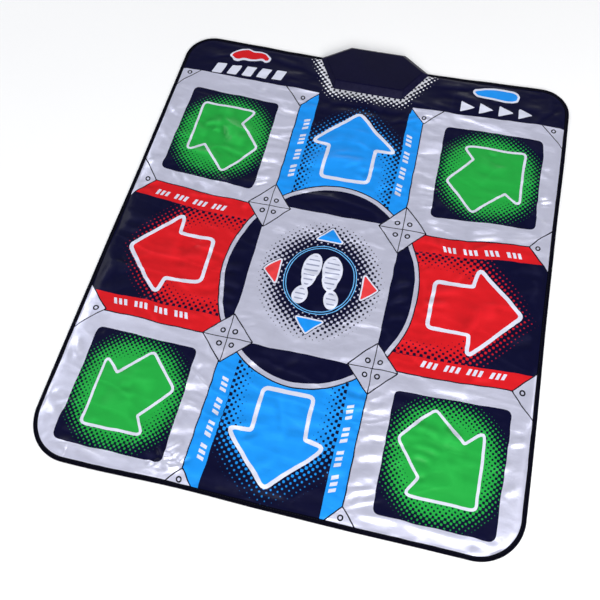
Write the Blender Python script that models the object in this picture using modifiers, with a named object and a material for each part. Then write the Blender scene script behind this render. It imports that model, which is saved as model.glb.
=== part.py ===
"""Electronic dance mat: a flexible padded step sensor with a control box.

A laminated sheet (back cover, foam, two contact films with foil patches, a
spacer foam with windows, printed top cover) is bound round its edge with
folded tape and clamped by a flat hexagonal control box at its back edge.
Each step area of the top cover, with the foil patch under it, is a piece of
its own that travels down until its foil meets the foil on the lower film.

Units are metres, +Z is up, +Y runs towards the control box.  The origin is
under the middle of the whole object, on the surface that it rests on.
"""
import math

import bmesh
import bpy
from mathutils import Matrix, Vector

MM = 0.001

# ---------------------------------------------------------------- dimensions
CELL = 0.12913            # half the pitch of the printed grid, the layout unit
Y_ORIGIN = 0.595          # layout y of the object's middle

MAT_HALF_X = 3.175        # layout units
MAT_FRONT = -3.11
MAT_BACK = 4.06
MAT_CORNER_R = 58 * MM    # back corners
MAT_FRONT_R = 76 * MM     # front corners, cut rounder
CORNER_SEGMENTS = 7

GAP = 0.3 * MM            # air between neighbouring pieces

# stack of layers, heights above the floor
Z_BACK_COVER = (0.0, 0.8 * MM)
Z_PAD = (1.1 * MM, 2.6 * MM)
Z_LOWER_FILM = (2.9 * MM, 3.2 * MM)
Z_LOWER_FOIL = (3.5 * MM, 3.7 * MM)
Z_SPACER = (3.5 * MM, 5.2 * MM)
Z_UPPER_FILM = (5.5 * MM, 5.8 * MM)
Z_TOP_COVER = (6.1 * MM, 6.9 * MM)
COVER_T = 0.8 * MM

# sewn edge
FLANGE_TOP_Z = (2.1 * MM, 2.9 * MM)
FLANGE_BACK_Z = (1.0 * MM, 1.8 * MM)
FLANGE_START = 1.0 * MM
FLANGE_END = 10.5 * MM
TOP_SLOPE_END = 16.0 * MM
BACK_SLOPE_END = 12.5 * MM
BINDING_W = 8.5 * MM
BINDING_H = 3.9 * MM
BINDING_T = 0.7 * MM
PAD_INSET = 13.5 * MM
FILM_INSET = 14.5 * MM
SPACER_INSET = 16.0 * MM
UPPER_FILM_INSET = 17.2 * MM

# step areas: name, centre x, centre y, half width, half depth, corner radius
STEP_R = 14 * MM
STEPS = (
    ("up", 0.0, 2.345, 0.67, 0.70, STEP_R),
    ("down", 0.0, -2.21, 0.67, 0.70, STEP_R),
    ("left", -2.235, 0.0, 0.68, 0.67, STEP_R),
    ("right", 2.235, 0.0, 0.68, 0.67, STEP_R),
    ("up_left", -2.10, 2.19, 0.65, 0.72, STEP_R),
    ("up_right", 2.10, 2.19, 0.65, 0.72, STEP_R),
    ("down_left", -2.10, -2.07, 0.65, 0.69, STEP_R),
    ("down_right", 2.10, -2.07, 0.65, 0.69, STEP_R),
    ("select", -2.07, 3.80, 0.37, 0.105, 0.105 * CELL),
    ("start", 2.07, 3.80, 0.37, 0.105, 0.105 * CELL),
)
STEP_SEGMENTS = 4
UPPER_FOIL_INSET = 1.0 * MM
LOWER_FOIL_INSET = 3.0 * MM

# control box: outline on the mat and at the top, layout units
BOX_FRONT = (0.56, 3.39)
BOX_SIDE = (0.905, 3.975)
BOX_BACK = (0.455, 4.30)
BOX_TOP_INSETS = (0.100, 0.065, 0.110)     # front, front sides, back sides
BOX_Z_SPLIT = 7.2 * MM
BOX_Z_TOP = 20.0 * MM
BOX_WALL = 2.2 * MM
TRAY_FLOOR = 1.8 * MM
TRAY_WALL_TOP = 6.9 * MM
TRAY_WALL_FRONT = 4.075                    # layout y where the tray wall starts
LAYER_NOTCH = 10.0 * MM                    # cover edge lies this far under the box
SCREW_SPOTS = ((58, 379), (86, 428), (45, 455))   # mm, mirrored in x
TRAY_BOSS_R = 5.0 * MM
TRAY_BOSS_TOP = 5.0 * MM
COUNTERBORE_R = 3.3 * MM
COUNTERBORE_D = 2.4 * MM
CAP_BOSS_R = 3.4 * MM
SCREW_HOLE_R = 1.6 * MM
SCREW_R = 1.25 * MM
SCREW_HEAD_R = 2.9 * MM
INLET_R = 3.5 * MM
INLET_Z = 7.05 * MM

# electronics
BOARD_X = 40 * MM
BOARD_Y = (394 * MM, 446 * MM)
BOARD_Z = (3.6 * MM, 5.2 * MM)
TAIL_X = (6 * MM, 30 * MM)
TAIL_END_Y = 407 * MM
RAMP_Y = (375 * MM, 389 * MM)
CLAMP_X = 38 * MM
CLAMP_Y = (398 * MM, 404 * MM)
CLAMP_Z = (6.1 * MM, 9.1 * MM)
CLAMP_SCREW = (34 * MM, 401 * MM)


# -------------------------------------------------------------------- scene
for old in list(bpy.data.objects):
    bpy.data.objects.remove(old, do_unlink=True)

parts_col = bpy.data.collections.new("dance_mat")
cut_col = bpy.data.collections.new("cutters")
bpy.context.scene.collection.children.link(parts_col)
bpy.context.scene.collection.children.link(cut_col)


def material(name, color, rough, metal=0.0):
    mat = bpy.data.materials.new(name)
    mat.use_nodes = True
    bsdf = mat.node_tree.nodes["Principled BSDF"]
    bsdf.inputs["Base Color"].default_value = (*color, 1.0)
    bsdf.inputs["Roughness"].default_value = rough
    bsdf.inputs["Metallic"].default_value = metal
    mat.diffuse_color = (*color, 1.0)
    return mat


NAVY = (0.010, 0.009, 0.028)
SILVER = (0.58, 0.58, 0.66)
RED = (0.78, 0.015, 0.020)
BLUE = (0.015, 0.29, 0.87)
GREEN = (0.030, 0.42, 0.075)
FOIL = (0.76, 0.77, 0.78)
FILM = (0.70, 0.74, 0.76)
FOAM = (0.12, 0.12, 0.13)
ABS = (0.012, 0.012, 0.026)
BOARD = (0.02, 0.16, 0.06)
STEEL = (0.55, 0.55, 0.56)

step_color = {"up": BLUE, "down": BLUE, "left": RED, "right": RED, "select": RED, "start": BLUE}


# ------------------------------------------------------------------ helpers
def lay(x, y):
    """Layout units to metres in the object's frame."""
    return (x * CELL, (y - Y_ORIGIN) * CELL)


def rounded(x0, x1, y0, y1, r, seg, front_r=None):
    """Corner points of a rounded rectangle, counter-clockwise. The two corners
    at y0 take front_r, where it is given."""
    f = r if front_r is None else front_r
    pts = []
    for cx, cy, r, a0 in ((x1 - r, y1 - r, r, 0.0), (x0 + r, y1 - r, r, 90.0),
                          (x0 + f, y0 + f, f, 180.0), (x1 - f, y0 + f, f, 270.0)):
        for k in range(seg + 1):
            a = math.radians(a0 + 90.0 * k / seg)
            pts.append((cx + r * math.cos(a), cy + r * math.sin(a)))
    return pts


def mat_loop(inset):
    x1, y1 = lay(MAT_HALF_X, MAT_BACK)
    x0, y0 = lay(-MAT_HALF_X, MAT_FRONT)
    return rounded(x0 + inset, x1 - inset, y0 + inset, y1 - inset,
                   MAT_CORNER_R - inset, CORNER_SEGMENTS, MAT_FRONT_R - inset)


def step_loop(step, inset):
    _, cx, cy, hx, hy, r = step
    x0, y0 = lay(cx - hx, cy - hy)
    x1, y1 = lay(cx + hx, cy + hy)
    r = min(r - inset, (y1 - y0) / 2 - inset - 0.01 * MM)
    return rounded(x0 + inset, x1 - inset, y0 + inset, y1 - inset, r, STEP_SEGMENTS)


def shift_corner(p_prev, p, p_next, d_prev, d_next):
    """Move a corner inwards by its own distance for each of its two edges.
    The outline runs counter-clockwise, so its inner side is on the left."""
    e1 = Vector((p[0] - p_prev[0], p[1] - p_prev[1])).normalized()
    e2 = Vector((p_next[0] - p[0], p_next[1] - p[1])).normalized()
    n1, n2 = Vector((-e1.y, e1.x)), Vector((-e2.y, e2.x))
    det = n1.x * n2.y - n1.y * n2.x
    vx = (d_prev * n2.y - d_next * n1.y) / det
    vy = (n1.x * d_next - n2.x * d_prev) / det
    return (p[0] + vx, p[1] + vy)


def box_outline(insets=(0.0, 0.0, 0.0)):
    """Hexagon of the control box, counter-clockwise from its front left
    corner, each edge moved inwards: front, front sides, back sides + back."""
    f, s, b = lay(*BOX_FRONT), lay(*BOX_SIDE), lay(*BOX_BACK)
    pts = [(-f[0], f[1]), (f[0], f[1]), (s[0], s[1]), (b[0], b[1]), (-b[0], b[1]), (-s[0], s[1])]
    front, side, back = insets
    edge = [front, side, back, back, back, side]      # edge i runs from point i to i + 1
    out = []
    for i, p in enumerate(pts):
        out.append(shift_corner(pts[i - 1], p, pts[(i + 1) % 6], edge[i - 1], edge[i]))
    return out


def link(obj, mat=None, col=None):
    (col or parts_col).objects.link(obj)
    if mat is not None:
        obj.data.materials.clear()
        obj.data.materials.append(mat)
    return obj


def sheet(name, loops, z, mat=None, col=None):
    """A flat piece cut to an outline, with its windows as inner loops."""
    curve = bpy.data.curves.new(name + "_outline", "CURVE")
    curve.dimensions = "2D"
    curve.fill_mode = "BOTH"
    curve.extrude = (z[1] - z[0]) / 2
    for pts in loops:
        sp = curve.splines.new("POLY")
        sp.points.add(len(pts) - 1)
        for p, (x, y) in zip(sp.points, pts):
            p.co = (x, y, 0.0, 1.0)
        sp.use_cyclic_u = True
    tmp = bpy.data.objects.new(name + "_outline", curve)
    tmp.location.z = (z[0] + z[1]) / 2
    cut_col.objects.link(tmp)
    bpy.context.view_layer.update()
    return mesh_from_curve(tmp, name, mat, col)


def mesh_from_curve(tmp, name, mat=None, col=None):
    """Turn a filled curve into one welded mesh that keeps its place."""
    depsgraph = bpy.context.evaluated_depsgraph_get()
    mesh = bpy.data.meshes.new_from_object(tmp.evaluated_get(depsgraph))
    mesh.name = name
    bm = bmesh.new()
    bm.from_mesh(mesh)
    bmesh.ops.remove_doubles(bm, verts=bm.verts, dist=0.00001)
    bmesh.ops.dissolve_limit(bm, angle_limit=0.0005, verts=bm.verts, edges=bm.edges)
    bmesh.ops.recalc_face_normals(bm, faces=bm.faces)
    bm.to_mesh(mesh)
    bm.free()
    obj = bpy.data.objects.new(name, mesh)
    obj.matrix_world = tmp.matrix_world.copy()
    bpy.data.objects.remove(tmp, do_unlink=True)
    return link(obj, mat, col)


def cutter(obj):
    obj.hide_render = True
    obj.display_type = "WIRE"
    return obj


def cut(obj, tool, op="DIFFERENCE"):
    mod = obj.modifiers.new(tool.name, "BOOLEAN")
    mod.operation = op
    mod.solver = "EXACT"
    mod.object = tool
    return obj


def cylinder(name, r, x, y, z0, z1, seg=20, mat=None, col=None, axis="Z"):
    mesh = bpy.data.meshes.new(name)
    bm = bmesh.new()
    bmesh.ops.create_cone(bm, cap_ends=True, segments=seg, radius1=r, radius2=r, depth=z1 - z0)
    if axis == "Y":
        bmesh.ops.rotate(bm, verts=bm.verts, cent=(0, 0, 0), matrix=Matrix.Rotation(math.radians(90), 3, "X"))
    bm.to_mesh(mesh)
    bm.free()
    obj = bpy.data.objects.new(name, mesh)
    if axis == "Y":
        obj.location = (x, (z0 + z1) / 2, y)
    else:
        obj.location = (x, y, (z0 + z1) / 2)
    return link(obj, mat, col)


def block(name, x, y, z, mat=None, col=None, bevel=0.0):
    mesh = bpy.data.meshes.new(name)
    bm = bmesh.new()
    bmesh.ops.create_cube(bm, size=1.0)
    bmesh.ops.scale(bm, verts=bm.verts, vec=(x[1] - x[0], y[1] - y[0], z[1] - z[0]))
    bm.to_mesh(mesh)
    bm.free()
    obj = bpy.data.objects.new(name, mesh)
    obj.location = ((x[0] + x[1]) / 2, (y[0] + y[1]) / 2, (z[0] + z[1]) / 2)
    link(obj, mat, col)
    if bevel:
        mod = obj.modifiers.new("edge", "BEVEL")
        mod.width = bevel
        mod.segments = 2
    return obj


def merged_tool(name, pieces):
    """Join several separate cutting solids into one cutter object."""
    bm = bmesh.new()
    bpy.context.view_layer.update()
    for piece in pieces:
        mesh = piece.data.copy()
        mesh.transform(piece.matrix_world)
        bm.from_mesh(mesh)
        bpy.data.meshes.remove(mesh)
        bpy.data.objects.remove(piece, do_unlink=True)
    mesh = bpy.data.meshes.new(name)
    bm.to_mesh(mesh)
    bm.free()
    return cutter(link(bpy.data.objects.new(name, mesh), None, cut_col))


def loft(name, rings, closed_top=True, closed_bottom=True):
    """Skin straight-sided rings of equal point count, from bottom to top."""
    mesh = bpy.data.meshes.new(name)
    bm = bmesh.new()
    rows = [[bm.verts.new((x, y, z)) for x, y in pts] for pts, z in rings]
    for lo, hi in zip(rows, rows[1:]):
        n = len(lo)
        for i in range(n):
            bm.faces.new((lo[i], lo[(i + 1) % n], hi[(i + 1) % n], hi[i]))
    if closed_top:
        bm.faces.new(rows[-1])
    if closed_bottom:
        bm.faces.new(list(reversed(rows[0])))
    bm.normal_update()
    bm.to_mesh(mesh)
    bm.free()
    return bpy.data.objects.new(name, mesh)


def pulled_cover(name, z_edge, z_flat, slope_end, inward, mat):
    """A cover that is pulled from its flat field to the sewn edge: one face,
    inset twice, the second time with a rise, then given its thickness."""
    mesh = bpy.data.meshes.new(name)
    bm = bmesh.new()
    verts = [bm.verts.new((x, y, z_edge)) for x, y in mat_loop(FLANGE_START)]
    face = bm.faces.new(verts)
    bm.normal_update()
    bmesh.ops.inset_region(bm, faces=[face], thickness=FLANGE_END - FLANGE_START, depth=0.0,
                           use_even_offset=True, use_boundary=True)
    bmesh.ops.inset_region(bm, faces=[face], thickness=slope_end - FLANGE_END, depth=0.0,
                           use_even_offset=True, use_boundary=True)
    for v in face.verts:
        v.co.z = z_flat
    if not inward:
        bmesh.ops.reverse_faces(bm, faces=bm.faces)
    bm.normal_update()
    bm.to_mesh(mesh)
    bm.free()
    obj = link(bpy.data.objects.new(name, mesh), mat)
    mod = obj.modifiers.new("cloth", "SOLIDIFY")
    mod.thickness = COVER_T
    mod.offset = -1.0
    mod.use_even_offset = True
    return obj


# -------------------------------------------------------------- cutting tools
BIG = 40 * MM
outline = box_outline()
notch_in = box_outline((LAYER_NOTCH, LAYER_NOTCH, LAYER_NOTCH))
notch_tray = box_outline((-0.4 * MM, -0.4 * MM, -0.4 * MM))
back_y = lay(0, MAT_BACK)[1]


def open_back(pts):
    """The outline's front half, run straight out over the mat's back edge."""
    far = back_y + BIG
    return [pts[0], pts[1], pts[2], (pts[2][0], far), (pts[5][0], far), pts[5]]


cover_notch = cutter(sheet("cover_notch", [open_back(notch_in)], (-5 * MM, 30 * MM), None, cut_col))
tray_notch = cutter(sheet("tray_notch", [open_back(notch_tray)], (-5 * MM, 30 * MM), None, cut_col))
step_windows = merged_tool("step_windows", [
    sheet("window_" + s[0], [step_loop(s, -GAP)], (-5 * MM, 30 * MM), None, cut_col) for s in STEPS])

# --------------------------------------------------------------- soft layers
mat_cover = material("printed_cover", SILVER, 0.32)
mat_back = material("non_slip_back", (0.02, 0.02, 0.022), 0.85)
mat_foam = material("foam", FOAM, 0.95)
mat_spacer = material("spacer_foam", (0.78, 0.78, 0.76), 0.95)
mat_film = material("clear_film", FILM, 0.2)
mat_upper_film = material("upper_film", FILM, 0.2)
mat_bind = material("binding_tape", (0.008, 0.008, 0.010), 0.8)

back_cover = pulled_cover("bottom_cover", FLANGE_BACK_Z[0], Z_BACK_COVER[0], BACK_SLOPE_END, False, mat_back)
cut(back_cover, tray_notch)

pad = sheet("padding_foam", [mat_loop(PAD_INSET)], Z_PAD, mat_foam)
cut(pad, tray_notch)

lower_film = sheet("lower_contact_film", [mat_loop(FILM_INSET)], Z_LOWER_FILM, mat_film)
cut(lower_film, cover_notch)

spacer = sheet("spacer_foam", [mat_loop(SPACER_INSET)] + [step_loop(s, -GAP) for s in STEPS], Z_SPACER, mat_spacer)
cut(spacer, cover_notch)

upper_film = sheet("upper_contact_film", [mat_loop(UPPER_FILM_INSET)] + [step_loop(s, -GAP) for s in STEPS],
                   Z_UPPER_FILM, mat_upper_film)
cut(upper_film, cover_notch)

top_cover = pulled_cover("top_cover", FLANGE_TOP_Z[1], Z_TOP_COVER[1], TOP_SLOPE_END, True, mat_cover)
cut(top_cover, step_windows)
cut(top_cover, cover_notch)

# film tails that run under the box to the board's contact strip
notch_front_y = notch_in[0][1]


def strip(name, x0, x1, path, t):
    """A strip bent along a side profile, its profile extruded in x."""
    top = [(y, z + t) for y, z in reversed(path)]
    curve = bpy.data.curves.new(name, "CURVE")
    curve.dimensions = "2D"
    curve.fill_mode = "BOTH"
    curve.extrude = (x1 - x0) / 2
    sp = curve.splines.new("POLY")
    pts = list(path) + top
    sp.points.add(len(pts) - 1)
    for p, (y, z) in zip(sp.points, pts):
        p.co = (y, z, 0.0, 1.0)
    sp.use_cyclic_u = True
    obj = bpy.data.objects.new(name, curve)
    # local x -> world y, local y -> world z, local z -> world x
    obj.matrix_world = Matrix(((0, 0, 1, (x0 + x1) / 2), (1, 0, 0, 0), (0, 1, 0, 0), (0, 0, 0, 1)))
    cut_col.objects.link(obj)
    bpy.context.view_layer.update()
    return cutter(mesh_from_curve(obj, name, None, cut_col))


film_t = Z_UPPER_FILM[1] - Z_UPPER_FILM[0]
cut(lower_film, strip("lower_tail", TAIL_X[0], TAIL_X[1],
                      [(notch_front_y - 2 * MM, Z_LOWER_FILM[0]), (RAMP_Y[0], Z_LOWER_FILM[0]),
                       (RAMP_Y[1], Z_UPPER_FILM[0]), (TAIL_END_Y, Z_UPPER_FILM[0])], film_t), "UNION")
cut(upper_film, strip("upper_tail", -TAIL_X[1], -TAIL_X[0],
                      [(notch_front_y - 2 * MM, Z_UPPER_FILM[0]), (TAIL_END_Y, Z_UPPER_FILM[0])], film_t), "UNION")

# edge binding: folded tape with a channel for the sewn flanges
binding = sheet("edge_binding", [mat_loop(0.0)], (0.0, BINDING_H), mat_bind)
bind_core = cutter(sheet("binding_core", [mat_loop(BINDING_W)], (-5 * MM, 15 * MM), None, cut_col))
bind_channel = cutter(sheet("binding_channel", [mat_loop(BINDING_T)],
                            (BINDING_T, BINDING_H - BINDING_T), None, cut_col))
cut(binding, bind_core)
cut(binding, bind_channel)
bind_gap = cutter(sheet("binding_gap", [open_back(box_outline((-0.4 * MM, -0.4 * MM, -0.4 * MM)))],
                        (-5 * MM, 15 * MM), None, cut_col))
cut(binding, bind_gap)

# ------------------------------------------------------------ step positions
for s in STEPS:
    nm = s[0]
    tail = "button" if nm in ("select", "start") else "step"
    color = step_color.get(nm, GREEN)
    sheet(f"{tail}_area_{nm}", [step_loop(s, 0.0)], Z_TOP_COVER, material(f"print_{nm}", color, 0.32))
    sheet(f"upper_foil_{nm}", [step_loop(s, UPPER_FOIL_INSET)], Z_UPPER_FILM,
          material(f"upper_foil_{nm}", FOIL, 0.35, 0.9))
    sheet(f"lower_foil_{nm}", [step_loop(s, LOWER_FOIL_INSET)], Z_LOWER_FOIL,
          material(f"lower_foil_{nm}", FOIL, 0.35, 0.9))

# ---------------------------------------------------------------- control box
mat_cap = material("box_upper", ABS, 0.42)
mat_tray = material("box_lower", ABS, 0.55)

top_insets = tuple(v * CELL for v in BOX_TOP_INSETS)
cap = link(loft("upper_housing", [(outline, BOX_Z_SPLIT), (box_outline(top_insets), BOX_Z_TOP)],
                closed_bottom=False), mat_cap)
soften = cap.modifiers.new("soft_edges", "BEVEL")
soften.width = 1.2 * MM
soften.segments = 2
soften.limit_method = "ANGLE"
soften.angle_limit = math.radians(20)
shell = cap.modifiers.new("wall", "SOLIDIFY")
shell.thickness = BOX_WALL
shell.offset = -1.0
shell.use_even_offset = True

# the wall's lower rim is trimmed flat at the parting plane
rim_trim = cutter(block("rim_trim", (-0.2, 0.2), (0.3, 0.55), (-0.02, BOX_Z_SPLIT), None, cut_col))
cut(cap, rim_trim)

spots = [(sx * x * MM, y * MM) for x, y in SCREW_SPOTS for sx in (-1, 1)]
cap_bosses = merged_tool("cap_bosses", [
    cylinder(f"cb{i}", CAP_BOSS_R, x, y, TRAY_BOSS_TOP + GAP, BOX_Z_TOP - 1.2 * MM, 16, None, cut_col)
    for i, (x, y) in enumerate(spots)])
cap_pilots = merged_tool("cap_pilots", [
    cylinder(f"cp{i}", SCREW_HOLE_R, x, y, 0.0, 14.5 * MM, 12, None, cut_col)
    for i, (x, y) in enumerate(spots)])
cut(cap, cap_bosses, "UNION")
cut(cap, cap_pilots)

box_back_y = lay(0, BOX_BACK[1])[1]
inlet = cutter(cylinder("inlet_bore", INLET_R, 0.0, INLET_Z, box_back_y - 22 * MM, box_back_y + 8 * MM,
                        20, None, cut_col, axis="Y"))
cut(cap, inlet)

tray = sheet("lower_housing", [outline], (0.0, TRAY_WALL_TOP), mat_tray)
hollow = cutter(sheet("tray_hollow", [box_outline((BOX_WALL, BOX_WALL, BOX_WALL))],
                      (TRAY_FLOOR, TRAY_WALL_TOP + 5 * MM), None, cut_col))
cut(tray, hollow)
wall_front_y = lay(0, TRAY_WALL_FRONT)[1]
front_clear = cutter(block("tray_front_clear", (-0.2, 0.2), (0.3, wall_front_y),
                           (TRAY_FLOOR, TRAY_WALL_TOP + 5 * MM), None, cut_col))
cut(tray, front_clear)
tray_bosses = merged_tool("tray_bosses", [
    cylinder(f"tb{i}", TRAY_BOSS_R, x, y, 0.4 * MM, TRAY_BOSS_TOP, 16, None, cut_col)
    for i, (x, y) in enumerate(spots)] + [
    cylinder(f"ts{i}", 3.3 * MM, sx * CLAMP_SCREW[0], y, 0.4 * MM, BOARD_Z[0] - GAP, 12, None, cut_col)
    for i, (sx, y) in enumerate(((-1, CLAMP_SCREW[1]), (1, CLAMP_SCREW[1]),
                                 (-1, BOARD_Y[1] - 5 * MM), (1, BOARD_Y[1] - 5 * MM)))])
cut(tray, tray_bosses, "UNION")
tray_bores = merged_tool("tray_bores", [
    cylinder(f"th{i}", SCREW_HOLE_R, x, y, 1 * MM, 8 * MM, 12, None, cut_col)
    for i, (x, y) in enumerate(spots)] + [
    cylinder(f"tp{i}", SCREW_HOLE_R, sx * CLAMP_SCREW[0], CLAMP_SCREW[1], 0.9 * MM, 8 * MM, 12, None, cut_col)
    for i, sx in enumerate((-1, 1))])
cut(tray, tray_bores)
tray_counterbores = merged_tool("tray_counterbores", [
    cylinder(f"tc{i}", COUNTERBORE_R, x, y, -1 * MM, COUNTERBORE_D, 16, None, cut_col)
    for i, (x, y) in enumerate(spots)])
cut(tray, tray_counterbores)
cut(tray, inlet)

# ---------------------------------------------------------------- electronics
board = block("circuit_board", (-BOARD_X, BOARD_X), BOARD_Y, BOARD_Z, material("board", BOARD, 0.5))
board_holes = merged_tool("board_holes", [
    cylinder(f"bh{i}", SCREW_HOLE_R, sx * CLAMP_SCREW[0], CLAMP_SCREW[1], 2 * MM, 8 * MM, 12, None, cut_col)
    for i, sx in enumerate((-1, 1))])
cut(board, board_holes)

z_on = BOARD_Z[1] + GAP
block("controller_chip", (-9 * MM, 9 * MM), (420 * MM, 427.6 * MM), (z_on, z_on + 2.4 * MM),
      material("chip", (0.015, 0.015, 0.017), 0.5), bevel=0.3 * MM)
crystal = sheet("crystal", [rounded(17 * MM, 28 * MM, 421 * MM, 425.6 * MM, 2.25 * MM, 5)],
                (z_on, z_on + 3.5 * MM), material("crystal_can", (0.7, 0.7, 0.72), 0.3, 1.0))
cap_body = cylinder("capacitor", 3.1 * MM, -24 * MM, 434 * MM, z_on, z_on + 7 * MM, 24,
                    material("capacitor_sleeve", (0.02, 0.03, 0.10), 0.35))
rim = cap_body.modifiers.new("crimp", "BEVEL")
rim.width = 0.5 * MM
rim.segments = 2
rim.limit_method = "ANGLE"

clamp = block("film_clamp_bar", (-CLAMP_X, CLAMP_X), CLAMP_Y, CLAMP_Z, material("clamp_bar", (0.05, 0.05, 0.055), 0.6))
clamp_holes = merged_tool("clamp_holes", [
    cylinder(f"ch{i}", SCREW_HOLE_R, sx * CLAMP_SCREW[0], CLAMP_SCREW[1], 2 * MM, 12 * MM, 12, None, cut_col)
    for i, sx in enumerate((-1, 1))])
cut(clamp, clamp_holes)


# --------------------------------------------------------------------- screws
def screw_mesh(name, shaft_len, head_h, head_down):
    """Pan-head screw as a turned profile, with a cross recess."""
    seg = 12
    r, h = SCREW_HEAD_R, head_h
    prof = [(0.0, shaft_len), (SCREW_R * 0.55, shaft_len), (SCREW_R, shaft_len - 0.9 * MM), (SCREW_R, 0.0),
            (r, 0.0), (r, -0.45 * h), (r * 0.86, -0.83 * h), (r * 0.55, -h), (0.0, -h)]
    mesh = bpy.data.meshes.new(name)
    bm = bmesh.new()
    vs = [bm.verts.new((x, 0.0, z if head_down else -z)) for x, z in prof]
    for a, b in zip(vs, vs[1:]):
        bm.edges.new((a, b))
    bmesh.ops.spin(bm, geom=bm.verts[:] + bm.edges[:], cent=(0, 0, 0), axis=(0, 0, 1),
                   angle=math.tau, steps=seg, use_merge=True)
    bmesh.ops.remove_doubles(bm, verts=bm.verts, dist=0.000005)
    bmesh.ops.recalc_face_normals(bm, faces=bm.faces)
    bm.to_mesh(mesh)
    bm.free()
    return mesh


def place_screw(name, mesh, x, y, z, mat, head_down, head_h):
    obj = link(bpy.data.objects.new(name, mesh), mat)
    obj.location = (x, y, z)
    s = -1.0 if head_down else 1.0
    z_face = z + s * head_h
    depth = 0.7 * MM
    lo, hi = min(z_face - s * depth, z_face + s * MM), max(z_face - s * depth, z_face + s * MM)
    a = block(name + "_slot_a", (x - 1.5 * MM, x + 1.5 * MM), (y - 0.3 * MM, y + 0.3 * MM), (lo, hi), None, cut_col)
    b = block(name + "_slot_b", (x - 0.3 * MM, x + 0.3 * MM), (y - 1.5 * MM, y + 1.5 * MM), (lo, hi), None, cut_col)
    cut(obj, cutter(a))
    cut(obj, cutter(b))
    return obj


HEAD_H = 1.7 * MM
housing_screw = screw_mesh("housing_screw", 11.0 * MM, HEAD_H, True)
names = ("front_left", "front_right", "side_left", "side_right", "back_left", "back_right")
for nm, (x, y) in zip(names, spots):
    place_screw("housing_screw_" + nm, housing_screw.copy(), x, y, COUNTERBORE_D - GAP,
                material("screw_" + nm, STEEL, 0.35, 1.0), True, HEAD_H)
clamp_screw = screw_mesh("clamp_screw", CLAMP_Z[1] + GAP - 1.3 * MM, HEAD_H, False)
for nm, sx in (("left", -1), ("right", 1)):
    place_screw("clamp_screw_" + nm, clamp_screw.copy(), sx * CLAMP_SCREW[0], CLAMP_SCREW[1], CLAMP_Z[1] + GAP,
                material("clamp_screw_" + nm, STEEL, 0.35, 1.0), False, HEAD_H)
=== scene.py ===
import math

import bmesh
import bpy
import numpy as np
from mathutils import Matrix, Vector


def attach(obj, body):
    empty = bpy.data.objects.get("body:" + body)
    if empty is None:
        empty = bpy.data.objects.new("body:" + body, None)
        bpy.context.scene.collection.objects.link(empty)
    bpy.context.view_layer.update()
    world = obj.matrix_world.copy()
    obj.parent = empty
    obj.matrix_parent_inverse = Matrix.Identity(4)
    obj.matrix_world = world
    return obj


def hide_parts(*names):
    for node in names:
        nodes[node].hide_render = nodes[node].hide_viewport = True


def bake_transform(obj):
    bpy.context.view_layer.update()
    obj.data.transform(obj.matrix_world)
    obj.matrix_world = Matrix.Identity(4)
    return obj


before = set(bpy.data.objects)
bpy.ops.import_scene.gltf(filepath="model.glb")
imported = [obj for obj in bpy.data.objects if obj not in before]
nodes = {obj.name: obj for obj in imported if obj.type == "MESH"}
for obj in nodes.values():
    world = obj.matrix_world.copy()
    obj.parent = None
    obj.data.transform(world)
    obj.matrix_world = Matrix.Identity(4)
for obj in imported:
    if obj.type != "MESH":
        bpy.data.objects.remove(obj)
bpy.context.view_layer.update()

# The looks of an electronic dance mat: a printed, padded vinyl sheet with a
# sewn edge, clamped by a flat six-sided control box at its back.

MM = 0.001

# ------------------------------------------------------------ sizes, as in CAD
CELL = 0.12913            # half the pitch of the printed grid, the layout unit
Y0 = 0.595                # layout y of the object's middle
HALF_X, FRONT, BACK = 3.175, -3.11, 4.06
CORNER_R, FRONT_R = 58 * MM, 76 * MM      # back and front corners
STEPS = {
    "up": (0.0, 2.345, 0.67, 0.70), "down": (0.0, -2.21, 0.67, 0.70),
    "left": (-2.235, 0.0, 0.68, 0.67), "right": (2.235, 0.0, 0.68, 0.67),
    "up_left": (-2.10, 2.19, 0.65, 0.72), "up_right": (2.10, 2.19, 0.65, 0.72),
    "down_left": (-2.10, -2.07, 0.65, 0.69), "down_right": (2.10, -2.07, 0.65, 0.69),
    "select": (-2.07, 3.80, 0.37, 0.105), "start": (2.07, 3.80, 0.37, 0.105),
}
FLANGE_Z = 2.9 * MM       # the cover's top where it is sewn
FLAT_Z = 6.9 * MM         # the cover's top over the foam
BIND_W, BIND_H = 8.5 * MM, 3.9 * MM
BOX_FRONT, BOX_SIDE, BOX_BACK = (0.56, 3.39), (0.905, 3.975), (0.455, 4.30)
BOX_TOP_INSETS = (0.100, 0.065, 0.110)
BOX_Z = (7.2 * MM, 20.0 * MM)
INLET_R, INLET_Z = 3.5 * MM, 7.05 * MM


def lay(x, y):
    return (x * CELL, (y - Y0) * CELL)


def smooth(t):
    t = np.clip(t, 0.0, 1.0)
    return t * t * (3 - 2 * t)


# ------------------------------------------------------------ plane geometry
def shift_corner(p_prev, p, p_next, d_prev, d_next):
    e1 = Vector((p[0] - p_prev[0], p[1] - p_prev[1])).normalized()
    e2 = Vector((p_next[0] - p[0], p_next[1] - p[1])).normalized()
    n1, n2 = Vector((-e1.y, e1.x)), Vector((-e2.y, e2.x))
    det = n1.x * n2.y - n1.y * n2.x
    return (p[0] + (d_prev * n2.y - d_next * n1.y) / det,
            p[1] + (n1.x * d_next - n2.x * d_prev) / det)


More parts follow.
